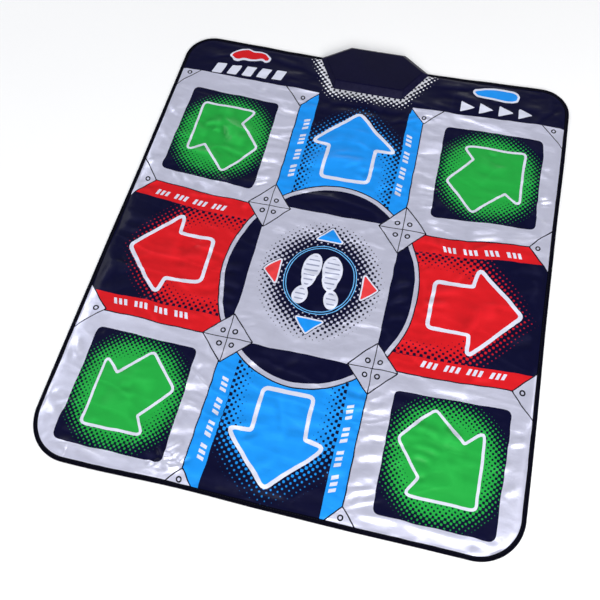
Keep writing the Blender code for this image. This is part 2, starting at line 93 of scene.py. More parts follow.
def box_outline(insets=(0.0, 0.0, 0.0)):
    """Hexagon of the control box in metres, counter-clockwise from its front left corner."""
    f, s, b = lay(*BOX_FRONT), lay(*BOX_SIDE), lay(*BOX_BACK)
    pts = [(-f[0], f[1]), (f[0], f[1]), (s[0], s[1]), (b[0], b[1]), (-b[0], b[1]), (-s[0], s[1])]
    front, side, back = insets
    edge = [front, side, back, back, back, side]
    return [shift_corner(pts[i - 1], p, pts[(i + 1) % 6], edge[i - 1], edge[i]) for i, p in enumerate(pts)]


def open_back(pts):
    """The outline's front half, run straight out over the mat's back edge."""
    far = lay(0, BACK)[1] + 0.04
    return [pts[0], pts[1], pts[2], (pts[2][0], far), (pts[5][0], far), pts[5]]


def poly_sdf(px, py, pts):
    """Signed distance to a closed polygon, negative inside."""
    px, py = np.asarray(px, float), np.asarray(py, float)
    best = np.full(px.shape, 1e9)
    inside = np.zeros(px.shape, bool)
    n = len(pts)
    for i in range(n):
        ax, ay = pts[i]
        bx, by = pts[(i + 1) % n]
        ex, ey = bx - ax, by - ay
        wx, wy = px - ax, py - ay
        t = np.clip((wx * ex + wy * ey) / (ex * ex + ey * ey), 0, 1)
        best = np.minimum(best, (wx - t * ex) ** 2 + (wy - t * ey) ** 2)
        crossing = ((ay > py) != (by > py))
        with np.errstate(divide="ignore", invalid="ignore"):
            at = ex * (py - ay) / (ey if ey else 1e-30) + ax
        inside ^= crossing & (px < at)
    return np.where(inside, -1, 1) * np.sqrt(best)


def box_sdf(px, py, cx, cy, hx, hy, r=0.0):
    qx, qy = np.abs(px - cx) - (hx - r), np.abs(py - cy) - (hy - r)
    return np.hypot(np.maximum(qx, 0), np.maximum(qy, 0)) + np.minimum(np.maximum(qx, qy), 0) - r


def eased(t, stops, values):
    """Smooth run through a few values."""
    stops, values = np.array(stops, float), np.array(values, float)
    k = np.clip(np.searchsorted(stops, t) - 1, 0, len(stops) - 2)
    f = smooth((t - stops[k]) / (stops[k + 1] - stops[k]))
    return values[k] * (1 - f) + values[k + 1] * f


def edge_wave(x, y):
    """How far the sewn edge strays outwards from its drawn outline, in metres."""
    lx, ly = np.asarray(x) / CELL, np.asarray(y) / CELL + Y0
    sides = (
        (BACK - ly, eased(np.abs(lx), (0.9, 1.4, 2.0, 2.7, 3.2), (-3.9, -2.8, 0.4, 2.9, 2.4))),
        (ly - FRONT, eased(lx, (-3.2, -2.3, -1.0, 0.1, 1.0, 2.2, 3.2), (1.0, 1.4, -1.8, 0.0, 0.4, -0.6, -0.9))),
        (HALF_X - lx, eased(ly, (-3.1, -1.5, 0.1, 1.3, 2.9, 4.1), (0.2, 0.6, -0.9, -0.5, 1.6, 0.9))),
        (HALF_X + lx, eased(ly, (-3.1, -1.9, -0.3, 1.4, 2.8, 4.1), (0.8, 1.0, 0.4, -1.3, -1.0, -0.8))),
    )
    total, weight = 0.0, 0.0
    for gap, stray in sides:
        w = smooth(1 - gap / 0.45)
        total, weight = total + w * stray, weight + w * w
    return total / np.sqrt(np.maximum(weight, 1.0)) * MM


def mat_inset(x, y):
    """How far a point in metres lies inside the mat's outline."""
    x1, yb = lay(HALF_X, BACK)
    _, yf = lay(0, FRONT)
    mid = (yb + yf) / 2
    r = np.where(np.asarray(y) < mid, FRONT_R, CORNER_R)
    return edge_wave(x, y) - box_sdf(x, y, 0.0, mid, x1, (yb - yf) / 2, r)


HEX = box_outline()
NOTCH = open_back(box_outline((10 * MM,) * 3))
TRAY_NOTCH = open_back(box_outline((-0.4 * MM,) * 3))


# ------------------------------------------------------------------- noise
_grids = {}


def noise(u, v, seed, n=48):
    """Smooth value noise in -1..1 on a seeded lattice."""
    if seed not in _grids:
        _grids[seed] = np.random.default_rng(seed).uniform(-1, 1, (n, n))
    g = _grids[seed]
    iu, iv = np.floor(u).astype(int), np.floor(v).astype(int)
    fu, fv = u - iu, v - iv
    fu, fv = fu ** 3 * (fu * (fu * 6 - 15) + 10), fv ** 3 * (fv * (fv * 6 - 15) + 10)
    a, b = g[iu % n, iv % n], g[(iu + 1) % n, iv % n]
    c, d = g[iu % n, (iv + 1) % n], g[(iu + 1) % n, (iv + 1) % n]
    return (a * (1 - fu) + b * fu) * (1 - fv) + (c * (1 - fu) + d * fu) * fv


# --------------------------------------------------------- shape of the cover
# creases: start and end in layout units, half width, height in mm, sideways
# bow, and how far the profile leans from a ridge (0) to a roll (1)
CREASES = [
    # upper left frame and cell
    (-2.10, 1.04, -1.06, 1.46, 0.085, 1.8, 0.03, 0.5), (-1.85, 1.14, -1.04, 1.70, 0.065, -1.2, 0.02, 0.2),
    (-2.75, 1.18, -1.70, 1.16, 0.055, 0.7, 0.03, 0.7), (-3.08, 1.93, -2.30, 2.02, 0.050, 0.8, 0.02, 0.4),
    (-1.40, 1.60, -1.02, 1.82, 0.045, 1.0, 0.01, 0.3), (-1.44, 2.12, -0.98, 2.16, 0.050, 0.9, 0.02, 0.6),
    (-1.42, 2.80, -0.95, 2.68, 0.035, 0.9, 0.00, 0.8), (-2.60, 2.98, -1.60, 3.12, 0.060, 0.6, 0.03, 0.5),
    (-1.38, 1.34, -1.05, 1.48, 0.032, 0.8, 0.01, 0.9), (-3.06, 2.40, -2.75, 2.50, 0.040, 0.8, 0.0, 0.5),
    # upper right frame and cell
    (1.00, 1.76, 1.40, 1.70, 0.045, 1.2, 0.01, 0.5), (1.05, 1.58, 1.72, 1.50, 0.040, 0.8, 0.02, 0.6),
    (1.20, 1.20, 1.98, 1.13, 0.060, 1.5, 0.03, 0.4), (1.90, 1.06, 2.52, 1.24, 0.050, 1.5, 0.03, 0.5),
    (2.84, 1.90, 3.14, 1.98, 0.035, 1.3, 0.0, 0.7), (2.45, 1.14, 3.05, 1.30, 0.050, 0.8, 0.02, 0.5),
    (1.02, 2.35, 1.42, 2.46, 0.045, 0.9, 0.01, 0.5), (1.50, 2.00, 2.60, 2.10, 0.060, 0.5, 0.05, 0.5),
    (2.86, 2.48, 3.13, 2.40, 0.040, 0.7, 0.0, 0.5),
    # left cell
    (-3.10, -0.56, -2.50, -0.50, 0.070, 1.1, 0.03, 0.6), (-2.32, -0.10, -1.40, -0.08, 0.050, 0.9, 0.03, 0.5),
    (-2.22, 0.26, -2.08, -0.30, 0.060, 0.35, 0.03, 0.5), (-2.12, 0.20, -1.50, 0.10, 0.050, 0.6, -0.03, 0.4),
    (-1.50, -0.13, -0.98, -0.08, 0.040, 1.0, 0.01, 0.5), (-1.42, -0.32, -0.98, -0.38, 0.035, 0.9, 0.01, 0.5),
    (-1.40, -0.48, -1.00, -0.55, 0.030, 0.7, 0.01, 0.5), (-1.38, -0.62, -0.96, -0.72, 0.035, 0.6, 0.01, 0.5),
    (-3.05, 0.40, -2.55, 0.30, 0.070, 0.7, 0.02, 0.5), (-1.95, -0.52, -1.30, -0.45, 0.040, 0.6, 0.02, 0.5),
    # right cell
    (1.00, 0.06, 1.36, 0.26, 0.035, 1.0, 0.01, 0.5), (1.00, -0.14, 1.36, 0.00, 0.035, 1.0, 0.01, 0.5),
    (1.42, 0.04, 2.10, 0.26, 0.045, 0.8, 0.02, 0.5), (1.42, -0.12, 1.92, 0.00, 0.040, 0.8, 0.02, 0.5),
    (1.42, -0.26, 1.80, -0.18, 0.035, 0.5, 0.02, 0.5), (1.80, 0.00, 2.70, -0.10, 0.060, 0.5, 0.04, 0.5),
    (2.66, -0.44, 3.10, -0.20, 0.055, 1.0, 0.02, 0.6), (2.60, 0.35, 3.10, 0.28, 0.070, 0.6, 0.02, 0.5),
    (1.02, -0.36, 1.34, -0.30, 0.030, 0.6, 0.0, 0.5),
    # middle
    (-0.95, -0.18, -0.30, -0.08, 0.050, 0.6, 0.03, 0.5), (0.30, 0.40, 0.95, 0.52, 0.050, 0.5, 0.02, 0.5),
    (-0.85, 0.62, -0.60, 0.66, 0.030, 0.5, 0.0, 0.5), (-0.60, 1.22, 0.10, 1.36, 0.040, 0.9, 0.03, 0.4),
    (0.40, -1.10, 0.95, -0.96, 0.045, 0.6, 0.02, 0.5), (-0.55, -1.26, 0.35, -1.20, 0.060, 0.7, 0.02, 0.5),
    (-0.95, 0.92, -0.40, 0.98, 0.035, 0.5, 0.02, 0.5),
    # top cell and header
    (-0.90, 1.80, 0.50, 2.06, 0.095, 1.2, 0.02, 0.3), (-0.60, 1.98, 0.60, 2.10, 0.075, 0.7, 0.02, 0.4),
    (-1.00, 2.60, -0.40, 2.52, 0.045, 0.4, 0.02, 0.5), (0.35, 1.62, 1.02, 1.72, 0.040, 0.6, 0.02, 0.5),
    (-0.90, 3.10, 0.90, 3.16, 0.045, 0.7, -0.04, 0.6), (-0.75, 3.22, 0.30, 3.17, 0.035, 0.6, 0.0, 0.5),
    (1.00, 3.62, 1.95, 3.52, 0.045, 1.2, 0.03, 0.5), (1.02, 3.48, 2.20, 3.40, 0.040, 1.0, 0.02, 0.5),
    (1.05, 3.75, 1.62, 3.80, 0.040, 1.1, 0.0, 0.5), (0.95, 3.38, 1.90, 3.29, 0.035, 0.8, 0.02, 0.5),
    (-1.00, 3.60, -1.55, 3.52, 0.045, 0.9, 0.0, 0.5), (-1.02, 3.42, -1.40, 3.35, 0.040, 0.8, 0.0, 0.5),
    (-1.10, 3.78, -1.75, 3.88, 0.045, 0.9, 0.02, 0.5), (1.10, 3.90, 2.20, 3.97, 0.050, 0.8, 0.02, 0.5),
    (2.35, 3.62, 2.95, 3.48, 0.055, 0.8, 0.03, 0.5), (-2.95, 3.70, -2.45, 3.58, 0.055, 0.8, 0.02, 0.5),
    (-2.80, 3.92, -2.10, 3.97, 0.040, 0.7, 0.0, 0.5), (-2.30, 3.62, -1.62, 3.66, 0.035, 0.6, 0.02, 0.5),
    # lower left frame and cell
    (-2.85, -2.95, -2.10, -2.94, 0.040, 1.2, 0.02, 0.5), (-2.80, -3.02, -2.10, -3.02, 0.028, -0.8, 0.01, 0.3),
    (-1.65, -2.80, -1.06, -2.99, 0.040, 1.3, 0.02, 0.5), (-1.50, -2.96, -1.12, -2.84, 0.030, 1.0, 0.01, 0.5),
    (-3.08, -1.48, -2.90, -1.86, 0.040, 1.0, 0.01, 0.4), (-1.55, -1.92, -0.98, -1.77, 0.045, 1.2, 0.01, 0.5),
    (-1.54, -2.16, -0.94, -2.10, 0.040, 1.1, 0.01, 0.5), (-1.48, -2.46, -0.92, -2.35, 0.040, 1.2, 0.01, 0.5),
    (-1.42, -1.60, -1.02, -1.48, 0.045, 0.8, 0.01, 0.5), (-2.60, -1.95, -1.60, -2.05, 0.060, 0.5, 0.04, 0.5),
    (-3.10, -2.30, -2.78, -2.38, 0.040, 0.9, 0.01, 0.5), (-2.75, -1.20, -1.70, -1.18, 0.050, 0.7, 0.03, 0.6),
    # bottom cell
    (-0.92, -1.78, -0.25, -1.70, 0.045, 0.5, 0.02, 0.5), (-0.34, -2.16, 0.62, -2.00, 0.055, 0.7, 0.03, 0.5),
    (-0.95, -2.20, -0.50, -2.14, 0.040, 0.5, 0.02, 0.5), (0.60, -2.56, 1.02, -2.50, 0.040, 0.7, 0.01, 0.5),
    (-0.80, -2.98, 0.70, -2.93, 0.060, 0.6, 0.02, 0.5), (0.62, -1.74, 1.00, -1.66, 0.040, 0.5, 0.01, 0.5),
    # lower right frame and cell
    (0.98, -2.02, 1.42, -1.93, 0.045, 1.3, 0.01, 0.5), (0.98, -2.30, 1.42, -2.18, 0.045, 1.2, 0.01, 0.5),
    (0.98, -2.56, 1.38, -2.47, 0.040, 1.1, 0.01, 0.5), (0.98, -2.75, 1.42, -2.58, 0.035, 1.2, 0.01, 0.5),
    (0.99, -1.66, 1.40, -1.60, 0.040, 0.8, 0.01, 0.5), (1.68, -2.84, 2.08, -3.09, 0.040, 1.2, 0.01, 0.5),
    (2.84, -1.72, 3.12, -1.62, 0.035, 1.1, 0.0, 0.5), (2.55, -2.92, 2.98, -3.02, 0.045, 1.3, 0.02, 0.5),
    (1.60, -1.90, 2.45, -1.82, 0.055, 0.6, 0.03, 0.5), (1.62, -2.16, 2.40, -1.94, 0.055, 0.5, 0.03, 0.5),
    (2.84, -2.30, 3.10, -2.20, 0.040, 0.9, 0.0, 0.5), (1.10, -2.98, 1.75, -2.92, 0.035, 0.9, 0.02, 0.5),
    (1.55, -1.16, 2.40, -1.20, 0.050, 0.7, 0.03, 0.6),
    # crumpled corner at the front of the lower left frame, and folds along the sewn edge
    (-1.42, -2.90, -1.12, -2.62, 0.030, 1.1, 0.01, 0.3), (-1.30, -2.98, -1.05, -2.78, 0.026, 1.0, -0.01, 0.2),
    (-1.52, -2.94, -1.30, -2.74, 0.026, -0.9, 0.01, 0.3), (-1.16, -2.84, -0.96, -2.66, 0.026, 1.0, 0.01, 0.4),
    (-1.62, -2.98, -1.20, -3.00, 0.026, 1.0, 0.01, 0.3), (-1.38, -2.72, -1.14, -2.50, 0.026, 0.8, 0.01, 0.2),
    (-2.90, -2.76, -1.75, -2.93, 0.045, 1.1, 0.04, 0.5), (-2.75, -2.90, -1.90, -3.00, 0.035, 0.9, 0.03, 0.5),
    (-3.02, -2.45, -2.80, -2.80, 0.050, 0.8, -0.02, 0.5), (1.75, -2.92, 2.62, -3.00, 0.040, 0.9, 0.02, 0.5),
    # small swirl in the upper left arrow
    (-2.42, 2.22, -2.08, 2.31, 0.038, 1.0, 0.05, 0.3), (-2.34, 2.01, -2.02, 2.08, 0.036, -0.9, -0.04, 0.2),
    (-2.14, 2.34, -2.00, 2.06, 0.038, 0.9, 0.06, 0.3), (-2.28, 2.18, -2.10, 2.12, 0.030, 0.9, 0.03, 0.2),
    (1.62, -1.72, 2.02, -1.80, 0.034, 1.1, 0.02, 0.4), (1.60, -1.98, 2.10, -2.02, 0.036, 1.1, 0.03, 0.4),
    (1.66, -2.10, 1.98, -2.16, 0.030, 0.9, 0.02, 0.4), (2.00, -1.60, 2.30, -1.74, 0.034, -1.0, 0.02, 0.3),
    (-1.46, -2.60, -1.20, -2.94, 0.024, 1.2, 0.01, 0.2), (-1.34, -2.64, -1.04, -2.86, 0.024, -1.0, 0.01, 0.2),
    (-1.50, -2.80, -1.10, -2.74, 0.024, 1.0, 0.02, 0.2),
    # slack inside the arrows
    (-2.42, 2.38, -1.78, 2.02, 0.120, 1.95, 0.07, 0.3), (-2.30, 1.96, -1.92, 2.30, 0.120, -1.69, -0.06, 0.2),
    (-2.36, 2.56, -1.95, 2.50, 0.070, 1.04, 0.03, 0.5), (-2.02, 2.12, -1.66, 1.98, 0.075, 1.3, 0.03, 0.5),
    (1.94, -0.34, 1.99, 0.36, 0.120, 1.17, 0.03, 0.9), (2.10, -0.30, 2.62, 0.02, 0.100, 1.17, 0.05, 0.5),
    (-2.14, -0.28, -2.00, 0.34, 0.100, 1.04, 0.05, 0.8), (-1.98, 0.26, -1.70, -0.02, 0.080, 1.04, 0.05, 0.5),
    (1.75, 2.30, 2.45, 2.20, 0.095, 1.17, 0.06, 0.5), (-2.30, -1.86, -1.72, -2.08, 0.090, 1.04, 0.05, 0.5),
    (-2.40, -2.34, -1.90, -2.38, 0.085, 0.91, 0.03, 0.5), (1.78, -1.80, 2.36, -1.96, 0.085, 1.3, 0.05, 0.4),
    (1.84, -2.20, 2.40, -2.28, 0.090, 1.04, 0.04, 0.5), (-0.20, 2.38, 0.30, 2.26, 0.090, 0.91, 0.05, 0.5),
    (-0.30, -2.38, 0.24, -2.30, 0.095, 0.91, 0.05, 0.5), (-0.24, -1.80, 0.26, -1.86, 0.080, 0.78, 0.03, 0.5),
]


def along_edge(x, y):
    """Length round the outline at the nearest edge point, in metres."""
    x1, yb = lay(HALF_X, BACK)
    _, yf = lay(0, FRONT)
    ym = y - (yb + yf) / 2
    r = np.where(ym < 0, FRONT_R, CORNER_R)
    cx, cy = x1 - r, (yb - yf) / 2 - r
    qx, qy = np.abs(x) - cx, np.abs(ym) - cy
    corner = (qx > 0) & (qy > 0)
    s = np.where(qx > qy, ym * np.sign(x), -x * np.sign(ym) + 3.0)
    ang = np.arctan2(np.maximum(qy, 1e-9), np.maximum(qx, 1e-9))
    return np.where(corner, (cy + ang * r) * np.sign(x) * np.sign(ym), s)


def small_creases(count):
    """Short seeded creases, most of them across the mat and in its loose frames."""
    rng = np.random.default_rng(23)
    out = []
    while len(out) < count:
        x, y = rng.uniform(-3.05, 3.05), rng.uniform(-3.0, 3.95)
        in_square = 1.33 < abs(x) < 2.84 and (1.3 < y < 3.0 or -2.86 < y < -1.3)
        in_cell = (abs(x) < 0.9 or abs(y) < 0.95) and y < 3.2
        if rng.uniform() > (0.55 if in_square else 0.8 if in_cell else 1.0):
            continue
        turn = rng.normal(0.0, 0.28) if rng.uniform() < 0.78 else rng.uniform(0.6, 2.4)
        turn += 0.12
        half = rng.uniform(0.10, 0.34) * (0.8 if in_square else 1.0)
        dx, dy = half * math.cos(turn), half * math.sin(turn)
        out.append((x - dx, y - dy, x + dx, y + dy, rng.uniform(0.024, 0.054), rng.uniform(0.18, 0.62) * rng.choice([1, 1, 1, -1]),
                    rng.uniform(-0.03, 0.03), rng.uniform(0.0, 0.8)))
    return out


PITCH = 1.0 * MM
RX0, RY0 = -0.416, -0.486
RNX, RNY = 833, 950


def blurred(a, r):
    """Mean over squares of 2r + 1 raster cells."""
    for axis in (0, 1):
        a = np.swapaxes(a, 0, axis)
        p = np.concatenate([np.repeat(a[:1], r + 1, 0), a, np.repeat(a[-1:], r, 0)]).cumsum(0)
        a = np.swapaxes((p[2 * r + 1:] - p[:-2 * r - 1]) / (2 * r + 1), 0, axis)
    return a


def make_raster():
    """Height of the cover's top on a 1 mm raster, the same with its folds deepened
    and its rim eased, which only the shading normals are read from, and how far
    each place is the top (1) or a hollow (-1) of the folds, which lightens and darkens the print: partly whitening from
    wear, partly painted highlight on the tops and painted shade in the hollows."""
    x = (RX0 + PITCH * np.arange(RNX))[:, None] * np.ones((1, RNY))
    y = (RY0 + PITCH * np.arange(RNY))[None, :] * np.ones((RNX, 1))
    lx, ly = x / CELL, y / CELL + Y0
    d = mat_inset(x, y)
    rise = np.clip((d - 7.4 * MM) / (13 * MM + 1.4 * np.minimum(edge_wave(x, y), 0)), 0, 1)
    puff = 0.45 * smooth(rise) + 0.55 * (1 - (1 - rise) ** 2.2)
    inner = smooth((d - 9 * MM) / (20 * MM))
    # broad lie of the padding, then bands and ridges that run across the mat
    lie = 1.0 * noise(lx * 0.62 + 3.1, ly * 0.75 + 1.7, 11) + 0.75 * noise(lx * 1.3 + 7.7, ly * 1.9, 12)
    wx, wy = lx + 0.25 * noise(lx * 1.1, ly * 1.1, 51), ly + 0.18 * noise(lx * 1.3, ly * 1.3, 52)
    band = 0.74 * noise(wx * 1.5 + 0.4 * wy, wy * 4.8 + 0.35 * wx, 13) + 0.24 * noise(wx * 3.4, wy * 9.5 + 0.8 * wx, 14)
    ridge = 1 - np.abs(noise(wx * 1.15 + 2.0, wy * 3.4 + 0.5 * wx, 21)) * 1.6
    ridge = np.clip(ridge, 0, 1) ** 2.2
    ridge2 = np.clip(1 - np.abs(noise(wx * 2.6 + 9.0, wy * 6.3 + 0.4 * wx, 22)) * 1.8, 0, 1) ** 2
    fine = 0.08 * noise(lx * 8.0, ly * 19.0 + 2 * lx, 15) + 0.05 * noise(lx * 17.0 + ly * 4, ly * 15.0, 16)
    loose = 0.45 + 0.55 * smooth((noise(lx * 0.9 + 5, ly * 0.9 + 9, 17) + 0.45) / 0.9)
    s = along_edge(x, y)
    pucker = (noise(s / (21 * MM), d / (60 * MM), 18) * 0.46 + noise(s / (9 * MM), d / (40 * MM), 19) * 0.12) \
        * np.exp(-np.maximum(d - 10 * MM, 0) / (15 * MM)) * smooth((d - 8 * MM) / (4 * MM))
    head = 1 - 0.32 * smooth((ly - 3.10) / 0.25)
    z = inner * (lie * 0.8 + (band + fine + 0.56 * ridge + 0.16 * ridge2) * loose * head) * MM + pucker * head * MM
    # single creases
    bumps = np.zeros_like(z)
    wob = 0.03 * noise(lx * 2.3, ly * 2.3, 5)
    for x0, y0, x1, y1, width, high, bow, roll in [(*c[:4], c[4] * 1.22, c[5] * (1.32 if c[1] < 3.25 else 1.0), *c[6:]) for c in CREASES] + small_creases(360):
        m = 3.9 * width + abs(bow) + 0.04
        i0, i1 = (int((min(x0, x1) - m) * CELL / PITCH - RX0 / PITCH), int((max(x0, x1) + m) * CELL / PITCH - RX0 / PITCH) + 2)
        j0 = int(((min(y0, y1) - m - Y0) * CELL - RY0) / PITCH)
        j1 = int(((max(y0, y1) + m - Y0) * CELL - RY0) / PITCH) + 2
        w = (slice(max(i0, 0), min(i1, RNX)), slice(max(j0, 0), min(j1, RNY)))
        ex, ey = x1 - x0, y1 - y0
        long = math.hypot(ex, ey)
        ex, ey = ex / long, ey / long
        t = np.clip(((lx[w] - x0) * ex + (ly[w] - y0) * ey) / long, 0, 1)
        off = -(lx[w] - x0) * ey + (ly[w] - y0) * ex + wob[w] - bow * 4 * t * (1 - t)
        u = off / (width * 1.28)
        taper = smooth(t / 0.38) * smooth((1 - t) / 0.38)
        shape = (1 - roll) * np.exp(-u * u) + roll * 1.5 * u * np.exp(-u * u) + roll * 0.35 * np.exp(-(u - 1.3) ** 2 * 1.5)
        bumps[w] += high * MM * taper * shape
    z = z + inner * bumps * head
    # quiet under and right beside the box, which clamps it
    held = smooth((poly_sdf(x, y, open_back(HEX)) - 1.5 * MM) / (14 * MM))
    base = FLANGE_Z + (FLAT_Z + 0.35 * MM - FLANGE_Z) * puff
    flat = FLANGE_Z + (FLAT_Z - 0.1 * MM - FLANGE_Z) * puff
    z = flat + (base + z - flat) * held
    low = FLANGE_Z + (6.25 * MM - FLANGE_Z) * puff
    soft = z - low
    z = low + np.where(soft > 0.4 * MM, soft, 0.4 * MM * np.exp(np.minimum(soft / (0.4 * MM) - 1, 0)))
    folds = z - base
    # the third value: fold tops (1) and hollows (-1), which lighten and darken the print's colour: partly whitening
    # from wear, partly painted highlight and painted shade
    return z, FLANGE_Z + 0.20 * (base - FLANGE_Z) + 2.2 * folds, np.clip((folds - blurred(blurred(folds, 7), 7)) / (0.42 * MM), -1, 1)


RASTER, DEEP, FOLD_WEAR_AND_SHADE = make_raster()


def read_raster(RASTER, x, y):
    u = np.clip((x - RX0) / PITCH, 0, RNX - 1.001)
    v = np.clip((y - RY0) / PITCH, 0, RNY - 1.001)
    i, j = u.astype(int), v.astype(int)
    fu, fv = u - i, v - j
    return ((RASTER[i, j] * (1 - fu) + RASTER[i + 1, j] * fu) * (1 - fv)
            + (RASTER[i, j + 1] * (1 - fu) + RASTER[i + 1, j + 1] * fu) * fv)


def cover_height(x, y):
    """Top of the printed cover at points in metres."""
    return read_raster(RASTER, x, y)


def cover_folds(x, y):
    return read_raster(DEEP, x, y)


# ------------------------------------------------------------ printed layout
ARROWS = [
    [(-2.805, -0.018), (-2.165, 0.655), (-2.150, 0.325), (-1.615, 0.318), (-1.609, -0.382), (-2.121, -0.402), (-2.186, -0.672)],
    [(2.840, 0.060), (2.171, 0.679), (2.134, 0.382), (1.604, 0.350), (1.592, -0.359), (2.154, -0.349), (2.175, -0.668)],
    [(-0.030, 2.978), (-0.674, 2.324), (-0.370, 2.290), (-0.370, 1.715), (0.346, 1.721), (0.340, 2.326), (0.670, 2.331)],
    [(-0.003, -2.880), (-0.658, -2.232), (-0.347, -2.206), (-0.340, -1.632), (0.347, -1.624), (0.354, -2.176), (0.629, -2.221)],
    [(-2.535, 2.706), (-1.647, 2.684), (-1.813, 2.417), (-1.457, 2.004), (-1.867, 1.480), (-2.281, 1.924), (-2.522, 1.742)],
    [(2.588, 2.732), (2.598, 1.788), (2.367, 1.966), (1.926, 1.557), (1.491, 2.026), (1.843, 2.476), (1.660, 2.710)],
    [(-2.522, -2.597), (-2.502, -1.664), (-2.284, -1.870), (-1.900, -1.480), (-1.484, -1.936), (-1.835, -2.366), (-1.678, -2.588)],
    [(2.570, -2.541), (2.558, -1.584), (2.328, -1.793), (1.910, -1.440), (1.488, -1.893), (1.832, -2.317), (1.674, -2.547)],
]
# middle and half diagonals; the first four are whole and carry four rivets each
DIAMONDS = [(-0.988, 1.052, 0.325, 0.374), (1.003, 1.058, 0.340, 0.382), (-0.998, -1.075, 0.350, 0.354), (1.000, -1.083, 0.341, 0.356),
            (-3.130, 1.125, 0.335, 0.365), (-3.120, -1.040, 0.340, 0.332), (3.140, 1.162, 0.335, 0.365), (3.155, -0.985, 0.335, 0.345),
            (-1.015, 3.315, 0.325, 0.368), (0.990, 3.345, 0.325, 0.363), (-1.045, -3.210, 0.335, 0.362), (1.000, -3.220, 0.335, 0.361)]
RIVETS = [(d[0] + sx * 0.083, d[1] + sy * 0.099) for d in DIAMONDS[:4] for sx in (-1, 1) for sy in (-1, 1)] + \
    [(-2.934, 1.114), (2.936, 1.157), (2.954, -0.975), (-2.918, -1.046), (-1.002, 3.100), (0.973, 3.100),
     (-2.963, 3.265), (2.970, 3.260), (0.999, -2.997), (-1.047, -2.987)]
SQUARES = [[(-2.775, 2.970), (-1.345, 2.900), (-1.330, 1.268), (-2.795, 1.372)],
           [(1.342, 3.006), (2.839, 3.018), (2.851, 1.462), (1.358, 1.364)],
           [(1.360, -1.312), (2.850, -1.256), (2.830, -2.836), (1.360, -2.840)],
           [(-2.778, -1.311), (-1.352, -1.318), (-1.340, -2.857), (-2.803, -2.850)]]
# the four arrow cells: outer border, inner border and drift of both along the cell
CELLS = {"left": ((1.035, 0.745, 0.066), (1.074, 0.800, -0.006)), "right": ((1.045, 0.775, 0.080), (1.054, 0.806, -0.045)),
         "top": ((0.992, 0.735, 0.003), (1.000, 0.752, -0.012)), "bottom": ((1.016, 0.745, 0.022), (1.000, 0.750, 0.000))}


def rounded_poly(pts, r):
    """Polygon with its outward corners cut by short arcs of radius about r."""
    out, n = [], len(pts)
    area = sum(pts[i][0] * pts[(i + 1) % n][1] - pts[(i + 1) % n][0] * pts[i][1] for i in range(n))
    for i, p in enumerate(pts):
        a, b = Vector(pts[i - 1]) - Vector(p), Vector(pts[(i + 1) % n]) - Vector(p)
        turn = (-a).x * b.y - (-a).y * b.x
        la, lb = a.length, b.length
        a.normalize()
        b.normalize()
        ang = a.angle(b)
        rr = r if turn * area > 0 else r * 0.35
        cut = min(rr / math.tan(ang / 2), 0.4 * la, 0.4 * lb)
        for k in range(5):
            t = k / 4
            p0, p1, p2 = Vector(p) + a * cut, Vector(p), Vector(p) + b * cut
            q = p0 * (1 - t) ** 2 + p1 * 2 * t * (1 - t) + p2 * t * t
            out.append((q.x, q.y))
    return out


ARROW_POLY = [rounded_poly(p, 0.080 if i < 4 else 0.062) for i, p in enumerate(ARROWS)]
SQUARE_POLY = [rounded_poly(p, 0.085) for p in SQUARES]


def ellipse(px, py, cx, cy, a, b, tilt=0.0):
    c, s = math.cos(tilt), math.sin(tilt)
    u, v = (px - cx) * c + (py - cy) * s, -(px - cx) * s + (py - cy) * c
    k = np.hypot(u / a, v / b)
    g = np.hypot(u / (a * a), v / (b * b)) + 1e-9
    return k * (k - 1) / g


